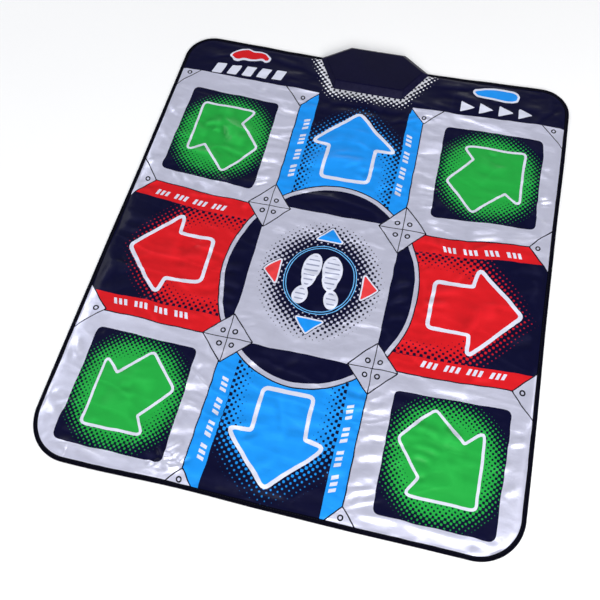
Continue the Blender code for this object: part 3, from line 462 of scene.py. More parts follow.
def print_fields(x, y):
    """Distances, in layout units, and dot coverage of the print at points in metres."""
    lx, ly = x / CELL, y / CELL + Y0
    # the print wanders a little with the sheet, most where it is crumpled
    h = 0.8 * MM
    sx = (cover_height(x + h, y) - cover_height(x - h, y)) / (2 * h)
    sy = (cover_height(x, y + h) - cover_height(x, y - h)) / (2 * h)
    calm = smooth((mat_inset(x, y) - 16 * MM) / (8 * MM))
    crumple = np.exp(-((lx + 2.06) / 0.5) ** 2 - ((ly - 3.8) / 0.25) ** 2)
    lx, ly = (lx + 0.011 * noise(lx * 2.6, ly * 2.6, 41) + 0.005 * noise(lx * 7, ly * 7, 42) - 0.045 * sx * calm
              + 0.03 * crumple * noise(lx * 9, ly * 9, 45),
              ly + 0.011 * noise(lx * 2.6, ly * 2.6, 43) + 0.005 * noise(lx * 7, ly * 7, 44) - 0.045 * sy * calm
              + 0.045 * crumple * noise(lx * 7, ly * 5, 46))
    # fold tops and hollows, for the print's colour: partly whitening from wear, partly painted highlight and painted
    # shade
    f = {"x": lx, "y": ly, "fold_wear_and_shade": read_raster(FOLD_WEAR_AND_SHADE, x, y)}
    f["arrow"] = np.full(lx.shape, 9.0)
    for p in ARROW_POLY:
        xs, ys = [q[0] for q in p], [q[1] for q in p]
        near = (lx > min(xs) - 0.3) & (lx < max(xs) + 0.3) & (ly > min(ys) - 0.3) & (ly < max(ys) + 0.3)
        f["arrow"][near] = np.minimum(f["arrow"][near], poly_sdf(lx[near], ly[near], p))
    f["square"] = np.min([poly_sdf(lx, ly, p) for p in SQUARE_POLY], axis=0)
    dia = np.array([poly_sdf(lx, ly, [(cx + dx, cy), (cx, cy + dy), (cx - dx, cy), (cx, cy - dy)]) for cx, cy, dx, dy in DIAMONDS])
    f["diamond"] = dia.min(0)
    which = dia.argmin(0)
    mid = np.array([d[:2] for d in DIAMONDS])[which]
    f["dia_x"], f["dia_y"], f["whole"] = lx - mid[:, 0], ly - mid[:, 1], (which < 4).astype(float)
    gap = np.array([np.hypot(lx - rx, ly - ry) for rx, ry in RIVETS])
    f["rivet"] = gap.min(0)
    at = np.array(RIVETS)[gap.argmin(0)]
    f["riv_x"], f["riv_y"] = lx - at[:, 0], ly - at[:, 1]

    # arrow cells: how far inside the stripes' borders a point lies
    ax, ay = np.abs(lx), np.abs(ly)
    side = ax * 1.07 > ay
    u, v = np.where(side, ax, ay), np.where(side, ay, ax)
    outer, inner, drift = (np.zeros_like(lx) for _ in range(3))
    for k, name in enumerate(("left", "right", "top", "bottom")):
        for h, vals in enumerate(CELLS[name]):
            if k < 2:
                sel = side & ((lx < 0) if k == 0 else (lx >= 0)) & ((ly >= 0) if h == 0 else (ly < 0))
            else:
                sel = ~side & ((ly >= 0) if k == 2 else (ly < 0)) & ((lx < 0) if h == 0 else (lx >= 0))
            outer[sel], inner[sel], drift[sel] = vals
    v = v - drift * (u - 1.3)
    sag = np.where(side & (ly > 0), np.where(lx < 0, 0.028, 0.034), np.where(side & (lx > 0), -0.014, 0.0))
    v = v + sag * np.exp(-((u - 1.95) / 0.45) ** 2)
    f["outer"], f["inner"], f["along"] = v - outer, v - inner, u

    # how much of the ground colour's dots cover, 0 to 1
    wing_u = np.where(side, np.where(lx < 0, 2.18, 2.165), np.where(ly > 0, 2.33, 2.228))
    wing_v = np.where(side, 0.665, 0.660)
    tip_u = np.where(side, 2.83, np.where(ly > 0, 2.975, 2.884))
    nu, nv = wing_v, tip_u - wing_u
    ln = np.hypot(nu, nv)
    def four(left, right, top, bottom):
        return np.where(side, np.where(lx < 0, left, right), np.where(ly > 0, top, bottom))

    at_tip = np.exp(-(np.where(side, ly, lx) / 0.30) ** 2)
    head = -((u - wing_u) * nu + (np.abs(np.where(side, ly, lx)) - wing_v) * nv) / ln + four(-0.025, 0.015, -0.035, 0.040)
    head -= four(0.16, 0.12, 0.13, 0.19) * at_tip
    fade = four(0.29, 0.29, 0.33, 0.31) + four(0.0, 0.0, 0.04, 0.05) * at_tip
    strip = inner - 0.012 - v
    dd = np.minimum(head, strip) - 0.04 * np.exp(-np.abs(head - strip) / 0.08)
    cov = np.where(dd > 0, 0.5 + 0.5 * dd / 0.27, 0.5 + 0.5 * dd / fade)
    for p in SQUARES:
        cx, cy = (p[0][0] + p[1][0] + p[2][0] + p[3][0]) / 4, (p[0][1] + p[1][1] + p[2][1] + p[3][1]) / 4
        near = (np.abs(lx - cx) < 0.82) & (np.abs(ly - cy) < 0.85) & (ax > 1.2) & (ay > 1.2)
        r = np.hypot(lx - cx, ly - cy)
        r = (np.abs(lx - cx) ** 2.3 + np.abs(ly - cy) ** 2.3) ** (1 / 2.3) * 0.5 + r * 0.5
        cov = np.where(near, 0.5 + 0.5 * (0.672 - r) / np.where(r < 0.672, 0.25, 0.20), cov)
    near = (ax < 1.03) & (ay < 1.1)
    r = np.hypot(lx - 0.02, (ly - 0.03) * 0.97)
    cov = np.where(near, 0.5 + 0.5 * (r - 0.70) / np.where(r > 0.7, 0.23, 0.25), cov)
    hex_d = poly_sdf(lx, ly, [(px / CELL, py / CELL + Y0) for px, py in open_back(HEX)])
    f["head"] = ly - np.where(ax > 0.75, 3.245 + 0.03 * ax, 3.14)
    dots = 0.69 - 0.69 * hex_d / (0.225 - 0.035 * smooth((ax - 0.5) / 0.3))
    cov = np.where(ly > 3.1, np.clip(dots, 0, 0.66), cov)
    f["cover"] = np.clip(cov, 0, 1)
    f["box_gap"] = hex_d
    # oval buttons, the signs under them, and the sign in the middle
    left = [(-2.352, 3.742), (-2.334, 3.787), (-2.243, 3.843), (-2.136, 3.881), (-2.039, 3.863), (-1.957, 3.877), (-1.837, 3.840), (-1.763, 3.797), (-1.767, 3.765), (-1.800, 3.742), (-1.887, 3.753), (-1.991, 3.740), (-2.097, 3.712), (-2.227, 3.701), (-2.311, 3.707)]
    right = [(1.699, 3.783), (1.713, 3.787), (1.831, 3.827), (1.991, 3.858), (2.131, 3.865), (2.269, 3.859), (2.314, 3.840), (2.334, 3.809), (2.322, 3.752), (2.278, 3.730), (2.158, 3.715), (2.016, 3.726), (1.869, 3.737), (1.746, 3.744)]
    f["oval"] = np.minimum(poly_sdf(lx, ly, left) - 0.035, poly_sdf(lx, ly, right) - 0.045)
    sign = np.full(lx.shape, 9.0)
    for k in range(5):          # left: slanted bars
        sh = lx - 0.30 * (ly - 3.468)
        sign = np.minimum(sign, box_sdf(sh, ly, -2.0 + (k - 2) * 0.25, 3.468 + 0.012 * (k - 2), 0.082, 0.100, 0.012))
    for k in range(4):          # right: play marks
        cx, cy = 2.05 + (k - 1.5) * 0.30, 3.468 + 0.01 * (k - 1.5)
        sign = np.minimum(sign, poly_sdf(lx, ly, [(cx - 0.10, cy - 0.105), (cx + 0.13, cy), (cx - 0.10, cy + 0.105)]))
    f["sign"] = sign
    mx, my = lx - 0.02, ly - 0.03
    soles = np.full(lx.shape, 9.0)
    for sx in (-1, 1):
        tilt = sx * 0.16
        c, s = math.cos(tilt), math.sin(tilt)
        fx, fy = (mx - sx * 0.175) * c + my * s, -(mx - sx * 0.175) * s + my * c
        fore = np.minimum(ellipse(fx, fy, 0.0, 0.155, 0.125, 0.215), ellipse(fx, fy, -sx * 0.02, 0.02, 0.095, 0.16))
        heel = ellipse(fx, fy, 0.0, -0.275, 0.092, 0.125)
        soles = np.minimum(soles, np.minimum(fore, heel))
    f["soles"] = soles
    f["halo"] = np.hypot(mx, my) - 0.50
    for name, first in (("mark_red", 0), ("mark_blue", 1)):
        f[name] = np.full(lx.shape, 9.0)
        for k in (first, first + 2):
            c, s = math.cos(k * math.pi / 2), math.sin(k * math.pi / 2)
            u2, v2 = mx * c + my * s, -mx * s + my * c
            f[name] = np.minimum(f[name], poly_sdf(u2, v2, [(0.80, 0.0), (0.62, 0.17), (0.62, -0.17)]))
    return f


# ------------------------------------------------------------ material tools
def lin(r, g, b):
    def one(c):
        c /= 255.0
        return c / 12.92 if c <= 0.04045 else ((c + 0.055) / 1.055) ** 2.4
    return (one(r), one(g), one(b), 1.0)


class Graph:
    """Short names for building a material's nodes."""

    def __init__(self, name):
        self.mat = bpy.data.materials.new(name)
        self.mat.use_nodes = True
        self.tree = self.mat.node_tree
        self.bsdf = self.tree.nodes["Principled BSDF"]

    def put(self, socket, value):
        if isinstance(value, bpy.types.NodeSocket):
            self.tree.links.new(value, socket)
        elif value is not None:
            socket.default_value = value

    def math(self, op, a, b=None, c=None, clamp=False):
        n = self.tree.nodes.new("ShaderNodeMath")
        n.operation = op
        n.use_clamp = clamp
        for s, v in zip(n.inputs, (a, b, c)):
            self.put(s, v)
        return n.outputs[0]

    def add(self, a, b): return self.math("ADD", a, b)
    def sub(self, a, b): return self.math("SUBTRACT", a, b)
    def mul(self, a, b): return self.math("MULTIPLY", a, b)
    def div(self, a, b): return self.math("DIVIDE", a, b)
    def lo(self, a, b): return self.math("MINIMUM", a, b)
    def hi(self, a, b): return self.math("MAXIMUM", a, b)
    def lt(self, a, b): return self.math("LESS_THAN", a, b)
    def gt(self, a, b): return self.math("GREATER_THAN", a, b)
    def abs(self, a): return self.math("ABSOLUTE", a)
    def inv(self, a): return self.math("SUBTRACT", 1.0, a)
    def hyp(self, a, b): return self.math("SQRT", self.add(self.mul(a, a), self.mul(b, b)))
    def cos(self, a): return self.math("COSINE", a)
    def near(self, a, at, w): return self.lt(self.abs(self.sub(a, at)), w)

    def attr(self, name):
        n = self.tree.nodes.new("ShaderNodeAttribute")
        n.attribute_name = name
        return n.outputs["Fac"]

    def coord(self, kind="Object"):
        if not hasattr(self, "_tc"):
            self._tc = self.tree.nodes.new("ShaderNodeTexCoord")
        return self._tc.outputs[kind]

    def xyz(self, vec):
        n = self.tree.nodes.new("ShaderNodeSeparateXYZ")
        self.put(n.inputs[0], vec)
        return n.outputs

    def vec(self, x, y, z):
        n = self.tree.nodes.new("ShaderNodeCombineXYZ")
        for s, v in zip(n.inputs, (x, y, z)):
            self.put(s, v)
        return n.outputs[0]

    def scaled(self, v, s):
        n = self.tree.nodes.new("ShaderNodeVectorMath")
        n.operation = "MULTIPLY"
        self.put(n.inputs[0], v)
        n.inputs[1].default_value = s
        return n.outputs[0]

    def noise(self, scale, detail=3.0, rough=0.5, vec=None, dim="3D"):
        n = self.tree.nodes.new("ShaderNodeTexNoise")
        n.noise_dimensions = dim
        self.put(n.inputs["Vector"], vec if vec is not None else self.coord())
        n.inputs["Scale"].default_value = scale
        n.inputs["Detail"].default_value = detail
        n.inputs["Roughness"].default_value = rough
        return n.outputs["Fac"]

    def voronoi(self, scale, feature="F1", vec=None, random=1.0):
        n = self.tree.nodes.new("ShaderNodeTexVoronoi")
        n.feature = feature
        self.put(n.inputs["Vector"], vec if vec is not None else self.coord())
        n.inputs["Scale"].default_value = scale
        n.inputs["Randomness"].default_value = random
        return n.outputs["Distance"]

    def span(self, v, a, b, c, d, smooth=False):
        n = self.tree.nodes.new("ShaderNodeMapRange")
        n.interpolation_type = "SMOOTHSTEP" if smooth else "LINEAR"
        self.put(n.inputs["Value"], v)
        for k, x in zip(("From Min", "From Max", "To Min", "To Max"), (a, b, c, d)):
            self.put(n.inputs[k], x)
        return n.outputs[0]

    def mix(self, fac, a, b, mode="MIX"):
        n = self.tree.nodes.new("ShaderNodeMix")
        n.data_type = "RGBA"
        n.blend_type = mode
        self.put(n.inputs["Factor"], fac)
        self.put(n.inputs["A"] if False else n.inputs[6], a)
        self.put(n.inputs[7], b)
        return n.outputs[2]

    def bump(self, height, strength, distance, normal=None):
        n = self.tree.nodes.new("ShaderNodeBump")
        n.inputs["Strength"].default_value = strength
        n.inputs["Distance"].default_value = distance
        self.put(n.inputs["Height"], height)
        if normal is not None:
            self.put(n.inputs["Normal"], normal)
        return n.outputs[0]

    def set(self, **kw):
        for k, v in kw.items():
            self.put(self.bsdf.inputs[k.replace("_", " ")], v)
        return self.mat


SILVER = lin(232, 233, 255)
INK = lin(3, 4, 41)
LINE = lin(14, 14, 30)
RED = lin(210, 24, 32)
BLUE = lin(28, 146, 240)
GREEN = lin(36, 166, 66)
WHITE = lin(216, 219, 236)
CYAN = lin(110, 185, 245)


def print_material():
    g = Graph("printed_vinyl")
    x, y = g.attr("p_x"), g.attr("p_y")
    ax, ay = g.abs(x), g.abs(y)
    cov = g.attr("p_cover")

    # dot screen at 45 degrees: 1 at one lattice, 0 at the other
    def screen(pitch, px=0.0, py=0.0):
        k = 2 * math.pi / pitch / math.sqrt(2)
        a = g.mul(g.add(g.add(x, px), g.add(y, py)), k)
        b = g.mul(g.sub(g.add(x, px), g.add(y, py)), k)
        return g.add(g.mul(g.add(g.cos(a), g.cos(b)), 0.25), 0.5)

    coarse, fine = screen(0.0645), screen(0.050)

    def dots(grid, soft=0.075):
        grown = g.sub(g.mul(cov, 1 + 2 * soft), soft)
        return g.span(g.sub(grown, grid), -soft, soft, 0.0, 1.0, True)

    hue = g.mix(g.gt(g.mul(ax, 1.07), ay), BLUE, RED)

    # silver ground, the four arrow cells and their stripes
    r = g.hyp(g.div(g.sub(x, 0.0100), 1.358), g.div(g.sub(y, 0.012), 1.530))
    ring = g.mul(g.sub(r, 1.0), 1.45)
    outside = g.gt(ring, 0.0)
    outer, inner, u = g.attr("p_outer"), g.attr("p_inner"), g.attr("p_along")
    in_cell = g.lt(outer, 0.0)
    cell = g.mul(outside, in_cell)
    stripe = g.mul(cell, g.gt(inner, 0.0))
    field = g.mix(g.mul(dots(coarse), g.span(cov, 0.0, 0.5, 0.55, 1.0)), INK, hue)
    col = g.mix(cell, SILVER, field)
    col = g.mix(stripe, col, hue)
    silver = g.inv(cell)

    # slanted white dashes along the stripes
    off = g.add(g.mul(g.add(outer, inner), 0.5), 0.040)
    run = g.div(g.sub(g.add(u, g.mul(off, 0.35)), 1.62), 0.30)
    part = g.mul(g.math("FRACT", run), 0.30)
    dash = g.mul(g.lt(part, 0.222), g.lt(g.math("FLOORED_MODULO", part, 0.075), 0.044))
    dash = g.mul(g.mul(dash, g.mul(g.gt(run, 0.0), g.lt(run, 4.0))), g.lt(g.abs(off), 0.044))
    col = g.mix(g.mul(dash, stripe), col, WHITE)

    # borders of the stripes, the ring and the black between it and the middle
    border = g.mul(g.near(outer, 0.0, 0.0078), g.gt(u, 1.3))
    col = g.mix(border, col, LINE)
    silver = g.mul(silver, g.inv(border))
    black_in = g.lt(ring, -0.030)
    col = g.mix(black_in, col, INK)
    silver = g.mul(silver, g.inv(black_in))
    on_ring = g.mul(g.lt(g.abs(ring), 0.030), in_cell)
    col = g.mix(on_ring, col, SILVER)
    col = g.mix(g.mul(g.mul(g.gt(ring, 0.029), g.lt(ring, 0.046)), in_cell), col, LINE)
    silver = g.hi(silver, on_ring)
    mid = g.mul(g.lt(ax, 1.000), g.lt(ay, 1.088))
    disc = g.mix(dots(coarse), INK, SILVER)
    col = g.mix(mid, col, disc)
    silver = g.add(g.mul(silver, g.inv(mid)), g.mul(mid, dots(coarse)))

    # the sign in the middle
    halo = g.abs(g.attr("p_halo"))
    col = g.mix(g.mul(mid, g.lt(halo, 0.022)), col, CYAN)
    col = g.mix(g.mul(mid, g.lt(halo, 0.010)), col, INK)
    red, blue = g.attr("p_mark_red"), g.attr("p_mark_blue")
    any_mark = g.lo(red, blue)
    col = g.mix(g.mul(mid, g.lt(any_mark, 0.040)), col, INK)
    col = g.mix(g.mul(mid, g.lt(any_mark, 0.030)), col, WHITE)
    col = g.mix(g.mul(mid, g.lt(red, 0.008)), col, lin(226, 62, 66))
    col = g.mix(g.mul(mid, g.lt(blue, 0.008)), col, BLUE)
    soles = g.attr("p_soles")
    col = g.mix(g.mul(mid, g.lt(soles, 0.014)), col, WHITE)
    ribs = g.math("FLOORED_MODULO", g.add(y, 0.012), 0.075)
    tread = g.mul(g.lt(soles, -0.022), g.lt(ribs, 0.020))
    col = g.mix(g.mul(mid, tread), col, lin(150, 155, 180))
    sign_on = g.mul(mid, g.lo(g.add(g.add(g.lt(halo, 0.022), g.lt(any_mark, 0.040)), g.lt(soles, 0.014)), 1.0))
    silver = g.mul(silver, g.inv(sign_on))

    # black squares of the corner cells, with green dots
    sq = g.lt(g.attr("p_square"), 0.010)
    col = g.mix(sq, col, g.mix(g.mul(dots(fine), g.span(cov, 0.0, 0.5, 0.6, 1.0)), INK, GREEN))
    silver = g.mul(silver, g.inv(sq))

    # riveted diamonds
    dia = g.attr("p_diamond")
    on_dia = g.lt(dia, 0.0)
    col = g.mix(on_dia, col, SILVER)
    silver = g.hi(silver, on_dia)
    cross = g.hi(g.near(g.attr("p_dia_x"), 0.0, 0.0060), g.near(g.attr("p_dia_y"), 0.0, 0.0060))
    cross = g.mul(g.mul(on_dia, g.gt(g.attr("p_whole"), 0.5)), cross)
    lines = g.hi(g.near(dia, 0.0, 0.0082), cross)
    tri = g.mul(g.near(g.mul(g.sub(g.add(ax, y), 6.122), 0.7071), 0.0, 0.0075), g.gt(y, 2.9))
    lines = g.hi(lines, tri)
    col = g.mix(lines, col, LINE)
    silver = g.mul(silver, g.inv(lines))
    rivet = g.add(g.hyp(g.attr("p_riv_x"), g.attr("p_riv_y")), g.gt(g.attr("p_rivet"), 0.055))
    col = g.mix(g.lt(rivet, 0.039), col, LINE)
    col = g.mix(g.lt(rivet, 0.020), col, SILVER)

    # header: black, with white dots that grow towards the box
    top_ink = g.gt(g.attr("p_head"), 0.0)
    near_box = g.gt(g.attr("p_box_gap"), -0.02)
    col = g.mix(top_ink, col, g.mix(g.mul(near_box, dots(coarse)), INK, lin(240, 241, 250)))
    silver = g.mul(silver, g.inv(top_ink))

    # arrows
    arrow = g.attr("p_arrow")
    corner = g.mul(g.gt(ax, 1.2), g.gt(ay, 1.25))
    arrow_hue = g.mix(corner, hue, GREEN)
    half = g.add(g.mul(corner, 0.0185), g.mul(g.inv(corner), 0.0270))
    arrow = g.sub(arrow, g.mul(corner, 0.004))
    on = g.lt(arrow, half)
    col = g.mix(on, col, WHITE)
    col = g.mix(g.lt(arrow, g.mul(half, -1.0)), col, arrow_hue)
    silver = g.mul(silver, g.inv(on))

    # oval buttons and the signs under them
    oval = g.attr("p_oval")
    col = g.mix(g.lt(oval, 0.012), col, WHITE)
    col = g.mix(g.lt(oval, -0.024), col, g.mix(g.gt(x, 0.0), RED, BLUE))
    col = g.mix(g.lt(g.attr("p_sign"), 0.0), col, WHITE)

    # ink mottling, fold tops lightened and fold hollows darkened (partly whitening from wear, partly painted highlight
    # and painted shade), then the clear film over the print
    wide = g.noise(9.0, 4.0, 0.6)
    grain = g.noise(1400.0, 2.0, 0.6)
    tone = g.add(g.span(wide, 0.25, 0.75, 0.955, 1.03), g.span(grain, 0.3, 0.7, -0.03, 0.03))
    # painted shade in the fold hollows and painted highlight on the fold tops, partly real whitening from wear; weaker
    # on the silver
    worn = g.mul(g.attr("p_fold_wear_and_shade"), g.sub(0.24, g.mul(silver, 0.18)))
    tone = g.add(tone, worn)
    col = g.mix(1.0, col, g.vec(tone, tone, tone), "MULTIPLY")
    # pale haze on the fold tops: partly whitening from wear, partly painted highlight
    col = g.mix(g.mul(g.hi(worn, 0.0), 0.05), col, lin(190, 190, 215))
    scuff = g.noise(60.0, 6.0, 0.75, g.scaled(g.coord(), (0.6, 2.0, 1.0)))
    rough = g.add(g.add(0.38, g.mul(silver, 0.05)), g.span(scuff, 0.35, 0.75, -0.04, 0.08))
    relief = g.add(g.mul(g.noise(900.0, 3.0, 0.55), 0.4), g.mul(g.noise(190.0, 4.0, 0.6, g.scaled(g.coord(), (0.7, 1.5, 1.0))), 1.0))
    ink = g.mul(g.inv(silver), g.lt(g.xyz(col)[1], 0.012))
    rough = g.add(rough, g.mul(ink, 0.17))
    g.set(Base_Color=col, Roughness=rough, Metallic=g.mul(silver, 0.64), Normal=g.bump(relief, 0.14, 0.0012))
    g.set(Coat_Weight=0.13, Coat_Roughness=0.23, IOR=1.45, Specular_IOR_Level=0.10)
    return g.mat


# --------------------------------------------------------------- mesh tools
def mesh_piece(name, co, faces, mat, normals=None, fields=None):
    mesh = bpy.data.meshes.new(name)
    mesh.from_pydata(co.tolist() if hasattr(co, "tolist") else co, [], faces)
    mesh.update()
    mesh.shade_smooth()
    if fields:
        for k, v in fields.items():
            a = mesh.attributes.new(k, "FLOAT", "POINT")
            a.data.foreach_set("value", np.asarray(v, np.float32))
    if normals is not None:
        mesh.normals_split_custom_set_from_vertices(normals.tolist())
    obj = bpy.data.objects.new(name, mesh)
    bpy.context.scene.collection.objects.link(obj)
    mesh.materials.append(mat)
    return obj


def grid_lines(stops, lo, hi, step):
    keys = [lo]
    for s in sorted(stops) + [hi]:
        if s > keys[-1] + 0.05 * MM and s <= hi:
            keys.append(s)
    out = [lo]
    for a, b in zip(keys, keys[1:]):
        n = max(1, round((b - a) / step))
        out += list(np.linspace(a, b, n + 1)[1:])
    return np.array(out)


def slope_normals(fn, x, y, sign=1.0, h=0.6 * MM):
    gx = (fn(x + h, y) - fn(x - h, y)) / (2 * h)
    gy = (fn(x, y + h) - fn(x, y - h)) / (2 * h)
    n = np.stack([-gx, -gy, np.ones_like(gx)], 1) * sign
    return n / np.linalg.norm(n, axis=1)[:, None]


def snap_to(x, y, dist, level):
    """Move points that lie below a level of a distance field onto it."""
    h = 0.1 * MM
    for _ in range(3):
        d = dist(x, y)
        gx = (dist(x + h, y) - dist(x - h, y)) / (2 * h)
        gy = (dist(x, y + h) - dist(x, y - h)) / (2 * h)
        ln = np.maximum(np.hypot(gx, gy), 1e-6)
        move = np.where(d < level, level - d, 0.0)
        x = x + move * gx / ln
        y = y + move * gy / ln
    return x, y


# ---------------------------------------------------------------- the cover
PRINT = print_material()
GRID = 2.45 * MM
EDGE_IN = 4.0 * MM
W_STEP, W_BUTTON = 12 * MM, 8 * MM

zones = {}
for zn, (cx, cy, hx, hy) in STEPS.items():
    zx0, zy0 = lay(cx - hx, cy - hy)
    zx1, zy1 = lay(cx + hx, cy + hy)
    zones[zn] = (zx0, zx1, zy0, zy1, W_BUTTON if zn in ("select", "start") else W_STEP)

xs_stop = sorted(v for z in zones.values() for v in (z[0], z[0] + z[4], z[1] - z[4], z[1]))
ys_stop = sorted(v for z in zones.values() for v in (z[2], z[2] + z[4], z[3] - z[4], z[3]))
X1, YB = lay(HALF_X, BACK)
_, YF = lay(0, FRONT)
gx = grid_lines(xs_stop, -X1 + 0.4 * MM, X1 - 0.4 * MM, GRID)
gy = grid_lines(ys_stop, YF + 0.4 * MM, YB - 0.4 * MM, GRID)
NX, NY = len(gx), len(gy)
GX, GY = np.meshgrid(gx, gy, indexing="ij")
vx, vy = GX.ravel(), GY.ravel()
vid = np.arange(NX * NY).reshape(NX, NY)
a, b, c, d = vid[:-1, :-1].ravel(), vid[1:, :-1].ravel(), vid[1:, 1:].ravel(), vid[:-1, 1:].ravel()
quads = np.stack([a, b, c, d], 1)
qx = (vx[a] + vx[c]) / 2
qy = (vy[a] + vy[c]) / 2

owner = {}                     # piece name -> list of faces
taken = np.zeros(len(quads), bool)
for zn, (x0, x1, y0, y1, w) in zones.items():
    inz = (qx > x0) & (qx < x1) & (qy > y0) & (qy < y1)
    taken |= inz
    q, cx, cy = quads[inz], qx[inz], qy[inz]
    ds = np.stack([cx - x0, x1 - cx, cy - y0, y1 - cy], 1)      # left right front back
    order = np.sort(ds, 1)
    which = np.argmin(ds, 1)
    plate = order[:, 0] > w
    tie = ~plate & (order[:, 1] - order[:, 0] < 0.02 * MM)
    tail = "button" if zn in ("select", "start") else "step"
    owner[f"{tail}_face_{zn}"] = q[plate].tolist()
    strips = {s: [] for s in ("left", "right", "front", "back")}
    for k, s in enumerate(("left", "right", "front", "back")):
        strips[s] += q[~plate & ~tie & (which == k)].tolist()
    for (i0, i1, i2, i3), row in zip(q[tie].tolist(), ds[tie]):
        lf, fr = row[0] < row[1], row[2] < row[3]
        if lf and fr:
            strips["left"].append([i0, i2, i3]); strips["front"].append([i0, i1, i2])
        elif fr:
            strips["right"].append([i1, i2, i3]); strips["front"].append([i0, i1, i3])
        elif lf:
            strips["left"].append([i0, i1, i3]); strips["back"].append([i1, i2, i3])
        else:
            strips["right"].append([i0, i1, i2]); strips["back"].append([i0, i2, i3])
    for s, fs in strips.items():
        owner[f"{tail}_border_{zn}_{s}"] = fs

in_mat = mat_inset(vx, vy)
notch_d = poly_sdf(vx, vy, NOTCH)
keep = ~taken & (in_mat[quads].max(1) > EDGE_IN + 0.3 * MM) & (notch_d[quads].max(1) > 0.3 * MM)
owner["printed_cover"] = quads[keep].tolist()


def make_cover_piece(name, faces):
    used = np.unique([i for f in faces for i in f])
    remap = {int(u): k for k, u in enumerate(used)}
    x, y = vx[used].copy(), vy[used].copy()
    if name == "printed_cover":
        x, y = snap_to(x, y, mat_inset, EDGE_IN)
        x, y = snap_to(x, y, lambda p, q: poly_sdf(p, q, NOTCH), 0.0)
    z = cover_height(x, y)
    fields = {"p_" + k: v for k, v in print_fields(x, y).items()}
    co = np.stack([x, y, z], 1)
    return mesh_piece(name, co, [[remap[i] for i in f] for f in faces], PRINT,
                      slope_normals(cover_folds, x, y), fields)


for name, faces in owner.items():
    obj = make_cover_piece(name, faces)
    if name == "printed_cover":
        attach(obj, "mat")
        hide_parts("top_cover")
        continue
    tail, kind, zn = name.split("_", 2)
    if kind == "face":
        body = zn + "_button" if tail == "button" else "step_" + zn
        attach(obj, body)
        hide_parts(f"{tail}_area_{zn}")
        continue
    zn, sd = zn.rsplit("_", 1)
    body = zn + "_button" if tail == "button" else "step_" + zn
    x0, x1, y0, y1, w = zones[zn]
    mx, my = (x0 + x1) / 2, (y0 + y1) / 2
    s, e = {"left": ((x0, my), (x0 + w, my)), "right": ((x1, my), (x1 - w, my)),
            "front": ((mx, y0), (mx, y0 + w)), "back": ((mx, y1), (mx, y1 - w))}[sd]
    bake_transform(obj)


# ------------------------------------------------------------- edge binding
def outline_path(step):
    """Points, outward normals and lengths round the mat from the box's right
    side clockwise (seen from above) to its left side."""
    r, rf = CORNER_R, FRONT_R
    segs = []
    x1, yb, yf = X1, YB, YF

    def line(p, q, n):
        m = max(2, int(math.dist(p, q) / step))
        for k in range(m):
            t = k / m
            segs.append((p[0] + (q[0] - p[0]) * t, p[1] + (q[1] - p[1]) * t, *n))

    def arc(cx, cy, a0, a1, r):
        m = max(4, int(abs(math.radians(a1 - a0)) * r / step))
        for k in range(m):
            an = math.radians(a0 + (a1 - a0) * k / m)
            segs.append((cx + r * math.cos(an), cy + r * math.sin(an), math.cos(an), math.sin(an)))

    start = 0.1080
    line((start, yb), (x1 - r, yb), (0, 1))
    arc(x1 - r, yb - r, 90, 0, r)
    line((x1, yb - r), (x1, yf + rf), (1, 0))
    arc(x1 - rf, yf + rf, 0, -90, rf)
    line((x1 - rf, yf), (-x1 + rf, yf), (0, -1))
    arc(-x1 + rf, yf + rf, -90, -180, rf)
    line((-x1, yf + rf), (-x1, yb - r), (-1, 0))
    arc(-x1 + r, yb - r, 180, 90, r)
    line((-x1 + r, yb), (-start, yb), (0, 1))
    segs.append((-start, yb, 0, 1))
    p = np.array(segs, float)
    p[:, :2] += p[:, 2:] * edge_wave(p[:, 0], p[:, 1])[:, None]
    s = np.concatenate([[0], np.cumsum(np.hypot(np.diff(p[:, 0]), np.diff(p[:, 1])))])
    return p, s


STITCH = 4.4 * MM
path, plen = outline_path(2.2 * MM)
wave = noise(plen / (46 * MM), plen * 0 + 0.5, 31) * 0.55 + noise(plen / (17 * MM), plen * 0 + 0.5, 32) * 0.3
lift = noise(plen / (60 * MM), plen * 0 + 0.5, 33)
scallop = 0.5 - 0.5 * np.cos(plen / STITCH * 2 * math.pi)
# profile: inset from the outer edge, height, and how far it follows the width wave
prof = [
    (7.6, 3.22, 1.0, 0.2), (7.95, 3.42, 1.0, 0.6), (7.9, 3.72, 1.0, 1.0), (7.45, 3.92, 1.0, 0.9), (6.8, 3.90, 0.9, -0.6),
    (5.9, 3.74, 0.8, -1.6), (5.0, 3.92, 0.7, -0.6), (4.0, 4.06, 0.5, 0.0), (2.8, 4.03, 0.3, 0.0), (1.8, 3.80, 0.1, 0.0), (0.9, 3.40, 0.0, 0.0),
    (0.35, 2.85, 0.0, 0.0), (0.05, 2.10, 0.0, 0.0), (0.15, 1.30, 0.0, 0.0), (0.60, 0.55, 0.0, 0.0), (1.4, 0.12, 0.0, 0.0),
    (2.8, 0.0, 0.0, 0.0), (5.6, 0.0, 0.4, 0.0), (8.2, 0.0, 0.8, 0.0), (8.5, 0.22, 0.8, 0.0), (8.3, 0.68, 0.8, 0.0),
    (5.4, 0.72, 0.4, 0.0), (1.2, 0.9, 0.0, 0.0), (0.85, 1.6, 0.0, 0.0), (0.95, 2.5, 0.0, 0.0), (1.5, 3.1, 0.0, 0.0), (5.4, 3.18, 0.5, 0.0),
]
K = len(prof)
co, faces, tape_s, tape_t = [], [], [], []
t_run = np.concatenate([[0], np.cumsum([math.dist(prof[k][:2], prof[k + 1][:2]) for k in range(K - 1)])]) * MM
end_x = lambda yy: (BOX_SIDE[0] + (BOX_BACK[0] - BOX_SIDE[0]) * ((yy / CELL + Y0) - BOX_SIDE[1]) / (BOX_BACK[1] - BOX_SIDE[1])) * CELL + 0.7 * MM
N = len(path)
